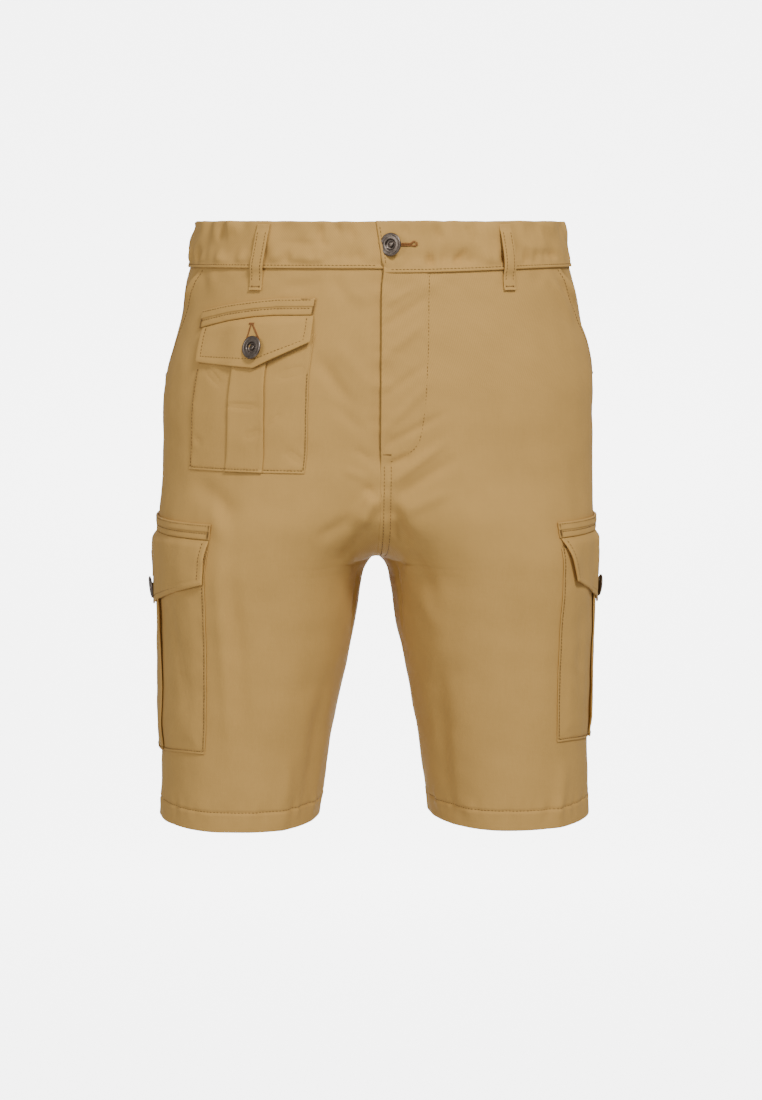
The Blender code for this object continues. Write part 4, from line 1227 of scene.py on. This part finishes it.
def cargo_stitches(side, front_top, front_bottom, rear_top, rear_bottom):
    """Two rows on the band, one round the patch, and a tack at each end of the band."""
    for number, (share, out) in enumerate(((0.12, 2.42), (0.61, 1.88))):
        line = np.linspace(rear_top + 1.5, front_top - 1.5, 200)
        level = between(CARGO_TOP, CARGO_SEAM, share)
        sew("thread_pockets", side, line, level + 0 * line, out, 2.9, 2.1, seed=95 + number)
    bottom = cargo_bottom(side)
    u, drop = dense(((rear_top, 305), (rear_bottom + 1.6, bottom - 2.4),
                     (front_bottom - 1.6, bottom - 2.4), (front_top - 2.0, 270)))
    lifted = smooth((CARGO_PLEAT + 0.5 - np.abs(u - CARGO_MIDDLE - cargo_shift(side))) / 1.5)
    share = (drop - CARGO_START) / (bottom - CARGO_START)
    drop = drop + CARGO_SAG * sagging(np.clip(share, 0, 1), between(front_top, front_bottom, share) - u)
    sew("thread_pockets", side, u, drop, PATCH_GAP + BELLOWS + 0.25 + 2.1 * lifted, 2.9, 2.1, seed=97)
    for place in (front_top - 1.5, rear_top + 1.5):
        tack("thread_pockets", side, (place, CARGO_TOP + 1), (place, CARGO_SEAM - 1), 2.4, 2.3, 0.7)


# ---------------------------------------------------------------- buttons

# Turned profile: radius as a share of the button's, height above its back
BUTTON_PROFILE = (
    (0.0, 0.0), (0.40, 0.0), (0.42, 1.0), (0.90, 1.05), (0.985, 1.35), (1.0, 1.9), (0.985, 2.35),
    (0.94, 2.72), (0.88, 2.9), (0.84, 2.86), (0.80, 2.62), (0.76, 2.55), (0.68, 2.7), (0.60, 2.82),
    (0.53, 2.85), (0.48, 2.7), (0.455, 2.3), (0.44, 1.5), (0.43, 0.8), (0.38, 0.45), (0.29, 0.4),
    (0.26, 0.6), (0.245, 1.3), (0.22, 1.7), (0.16, 1.95), (0.08, 2.05), (0.0, 2.07))
BUTTON_TURNS = 64


def button(name, side, u, drop, out, turn, lean):
    """A jeans button standing on its shank, tilted as given: turn about the height, then lean, in degrees.
    """
    profile = np.array(BUTTON_PROFILE) * (BUTTON_RADIUS, 1.0)
    angles = np.arange(BUTTON_TURNS) * 2 * math.pi / BUTTON_TURNS
    points, faces = [(0.0, 0.0, profile[0, 1])], []
    for radius, height in profile[1:-1]:
        worn = 1 + 0.004 * np.sin(5 * angles + radius)
        reach = radius * worn
        points += list(zip(reach * np.cos(angles), reach * np.sin(angles), np.full(BUTTON_TURNS, height)))
    points.append((0.0, 0.0, profile[-1, 1]))
    last = len(points) - 1
    for k in range(BUTTON_TURNS):
        after = (k + 1) % BUTTON_TURNS
        faces.append((0, 1 + after, 1 + k))
        faces.append((last - BUTTON_TURNS + k, last - BUTTON_TURNS + after, last))
    for ring in range(len(profile) - 3):
        a, b = 1 + ring * BUTTON_TURNS, 1 + (ring + 1) * BUTTON_TURNS
        for k in range(BUTTON_TURNS):
            after = (k + 1) % BUTTON_TURNS
            faces.append((a + k, a + after, b + after, b + k))
    centre = form(side, u, drop, out)
    up = Vector(outward(side, u, drop))
    across = Vector((0, 0, 1)).cross(up).normalized()
    stood = Matrix((across, up.cross(across), up)).transposed()
    turned = Matrix.Rotation(math.radians(turn), 3, "Z") @ Matrix.Rotation(math.radians(lean), 3, across)
    place = turned @ stood
    mesh = bpy.data.meshes.new(name + "_metal")
    mesh.from_pydata([(Vector(centre) + place @ Vector(p)) * MM for p in points], [], faces)
    mesh.shade_smooth()
    finished(name + "_metal", mesh, METAL, "button_metal", name)


def waist_button():
    u, drop = WAIST_BUTTON
    face = BAND_HIGH + 0.3
    button("waist_button", LEFT, u, drop, face + 1.4, -31, 4)
    line = np.linspace(u - 7, u - 21, 30)
    level = drop - 0.3 - 0.8 * smooth((u - 16 - line) / 4)
    eye = 1.1 * bell(line - (u - 19.5), 1.8)
    for way in (-1, 1):
        overcast("buttonhole_waist", LEFT, line, level + way * (0.75 + eye), face + 0.1 + 0 * line)
    tack("buttonhole_waist", LEFT, (u - 21.4, drop - 2.4), (u - 21.4, drop + 0.4), 1.8, face + 0.3, 0.5, 0.3)


# ---------------------------------------------------------------- stage, camera, light

def stage():
    """A pale floor that curves up into a pale wall behind the shorts."""
    floor_level, floor_from, wall_at, wall_top, bend, edges = -2.0, -6.0, 7.0, 1.3, 1.2, (-1.35, 1.85)
    arc = [(wall_at - bend + bend * math.sin(t), floor_level + bend * (1 - math.cos(t)))
           for t in np.linspace(0, math.pi / 2, 13)]
    profile = [(floor_from, floor_level)] + arc + [(wall_at, wall_top)]
    points = [(x, y, z) for y, z in profile for x in edges]
    faces = [(2 * k, 2 * k + 1, 2 * k + 3, 2 * k + 2) for k in range(len(profile) - 1)]
    mesh = bpy.data.meshes.new("backdrop")
    mesh.from_pydata(points, [], faces)
    mesh.shade_smooth()
    made, tree, shader = shader_of("pale_paper")
    grain = noise(tree, tree.nodes.new("ShaderNodeTexCoord").outputs["Object"], 40.0, 3)
    tone = mix_colour(tree, grain, (0.86, 0.86, 0.865), (0.88, 0.88, 0.885))
    tree.links.new(tone, shader.inputs["Base Color"])
    put(shader, {"Roughness": 0.95})
    place = tree.nodes.new("ShaderNodeSeparateXYZ")
    tree.links.new(tree.nodes.new("ShaderNodeTexCoord").outputs["Object"], place.inputs["Vector"])
    glow = ramp(tree, place.outputs["Y"], 2.4, 3.0)
    put(shader, {"Emission Color": (1, 1, 1, 1)})
    tree.links.new(math_node(tree, "MULTIPLY", glow, 4.9), shader.inputs["Emission Strength"])
    mesh.materials.append(made)
    backdrop = bpy.data.objects.new("backdrop", mesh)
    bpy.context.scene.collection.objects.link(backdrop)


def aim(thing, place, target):
    thing.location = place
    thing.rotation_mode = "QUATERNION"
    thing.rotation_quaternion = (Vector(target) - Vector(place)).to_track_quat("-Z", "Y")


LIGHTS = (                     # name, place, size across and up, power
    ("key", (0.9, -2.1, 1.9), (0.6, 0.6), 88),
    ("fill", (-1.8, -2.2, 0.6), (1.2, 1.2), 27),
)


def lights():
    for name, place, (across, up), power in LIGHTS:
        data = bpy.data.lights.new(name, "AREA")
        data.shape = "RECTANGLE"
        data.size, data.size_y = across, up
        data.energy = power
        lamp = bpy.data.objects.new(name, data)
        bpy.context.scene.collection.objects.link(lamp)
        aim(lamp, place, (0, 0, -0.26))
    world = bpy.data.worlds.new("studio")
    world.use_nodes = True
    background = world.node_tree.nodes["Background"]
    put(background, {"Color": (1.0, 1.0, 1.0, 1), "Strength": 0.47})
    bpy.context.scene.world = world


def camera():
    """At the height of the waist, a little to the wearer's right, looking slightly down."""
    distance, yaw = 2.4, math.radians(2.0)
    data = bpy.data.cameras.new("camera")
    data.sensor_fit = "AUTO"
    data.sensor_width = 36.0
    data.lens = 89.25
    data.clip_start, data.clip_end = 0.1, 50
    made = bpy.data.objects.new("camera", data)
    bpy.context.scene.collection.objects.link(made)
    aim(made, (-distance * math.sin(yaw), -distance * math.cos(yaw), 0.0), (0.0025, 0.0, -0.287))
    bpy.context.scene.camera = made


# ---------------------------------------------------------------- stitches on the panels and waistband

def panel_stitches(side):
    """Hems, the slanted mouth, and on the wearer's left the fly and the seams down the middle."""
    for front in (True, False):
        way = 1 if front else -1
        group = f"thread_hem_{'left' if side == LEFT else 'right'}"
        level = LENGTH - HEM_STITCH
        q = np.arange(0.5, float(panel_seam(front, level)) - 0.5, 1.0)
        sew(group, side, way * q, level + 0 * q, panel_height(side, front, q, level + 0 * q) + 0.12, seed=7)
    drop = np.arange(WAISTBAND + 1.5, MOUTH_END - 3, 1.0)
    q = mouth_line(drop) + MOUTH_STITCH
    sew("thread_front", side, q, drop, panel_height(side, True, q, drop) + 0.12, seed=8)
    tack("thread_front", side, (0.5, MOUTH_END - 6), (7.5, MOUTH_END - 8), 2.2, 1.2)
    if side == RIGHT:
        return
    for front in (True, False):
        drop = np.arange(201.0 if front else WAISTBAND + 2, CROTCH - 2, 1.0)
        for number, at in enumerate(CENTRE_STITCHES):
            q = panel_seam(front, drop) - at
            sew("thread_front" if front else "thread_back", side, q if front else -q, drop,
                panel_height(side, front, q, drop) + 0.12, seed=9 + number)
    drop = np.concatenate([np.arange(WAISTBAND + 5.0, 186, 1.0), np.arange(186, 198.5, 0.35)])
    q = front_run(drop) - fly_line(drop)
    sew("thread_front", side, q, drop, panel_height(side, True, q, drop) + 0.12, seed=12)
    start, end = (float(front_run(191)) - 8, 192), (float(front_run(191)) - 1, 191.5)
    tack("thread_front", side, start, end, 2.0, float(panel_height(side, True, *np.array(start))) + 0.02)


def band_stitches():
    for side in (LEFT, RIGHT):
        for ahead in (True, False):
            run = float((front_run if ahead else back_run)(WAISTBAND))
            u = np.arange(0.5, run - 3, 1.0) * (1 if ahead else -1)
            drop = waist_seam(side, u) - BAND_STITCH
            sew("thread_waist", side, u, drop, band_height(side, u, drop) + 0.14, seed=14)
    drop = np.arange(2.0, WAISTBAND, 1.0)
    u = front_run(drop) + end_over(drop) - 2.6
    sew("thread_waist", LEFT, u, drop, band_height(LEFT, u, drop) + 0.04, seed=15)


# ---------------------------------------------------------------- the shorts

camera()
lights()
stage()
for suffix, side in (("left", LEFT), ("right", RIGHT)):
    panel(f"front_{suffix}", side, True)
    panel(f"back_{suffix}", side, False)
    facing(f"pocket_facing_{suffix}", side)
    panel_stitches(side)
waistband()
band_stitches()
for number, row in enumerate(LOOPS, start=1):
    belt_loop(number, *row)
waist_button()
utility_patch()
utility_band()
utility_flap()
utility_stitches()
for side, front_top, front_bottom, rear_top, rear_bottom, front_corner in CARGOS:
    suffix = "left" if side == LEFT else "right"
    cargo_patch(suffix, side, front_top, front_bottom, rear_top, rear_bottom)
    cargo_band(suffix, side, front_top, rear_top)
    cargo_flap(suffix, side, front_top, rear_top, front_corner)
    cargo_stitches(side, front_top, front_bottom, rear_top, rear_bottom)
sewn_meshes()
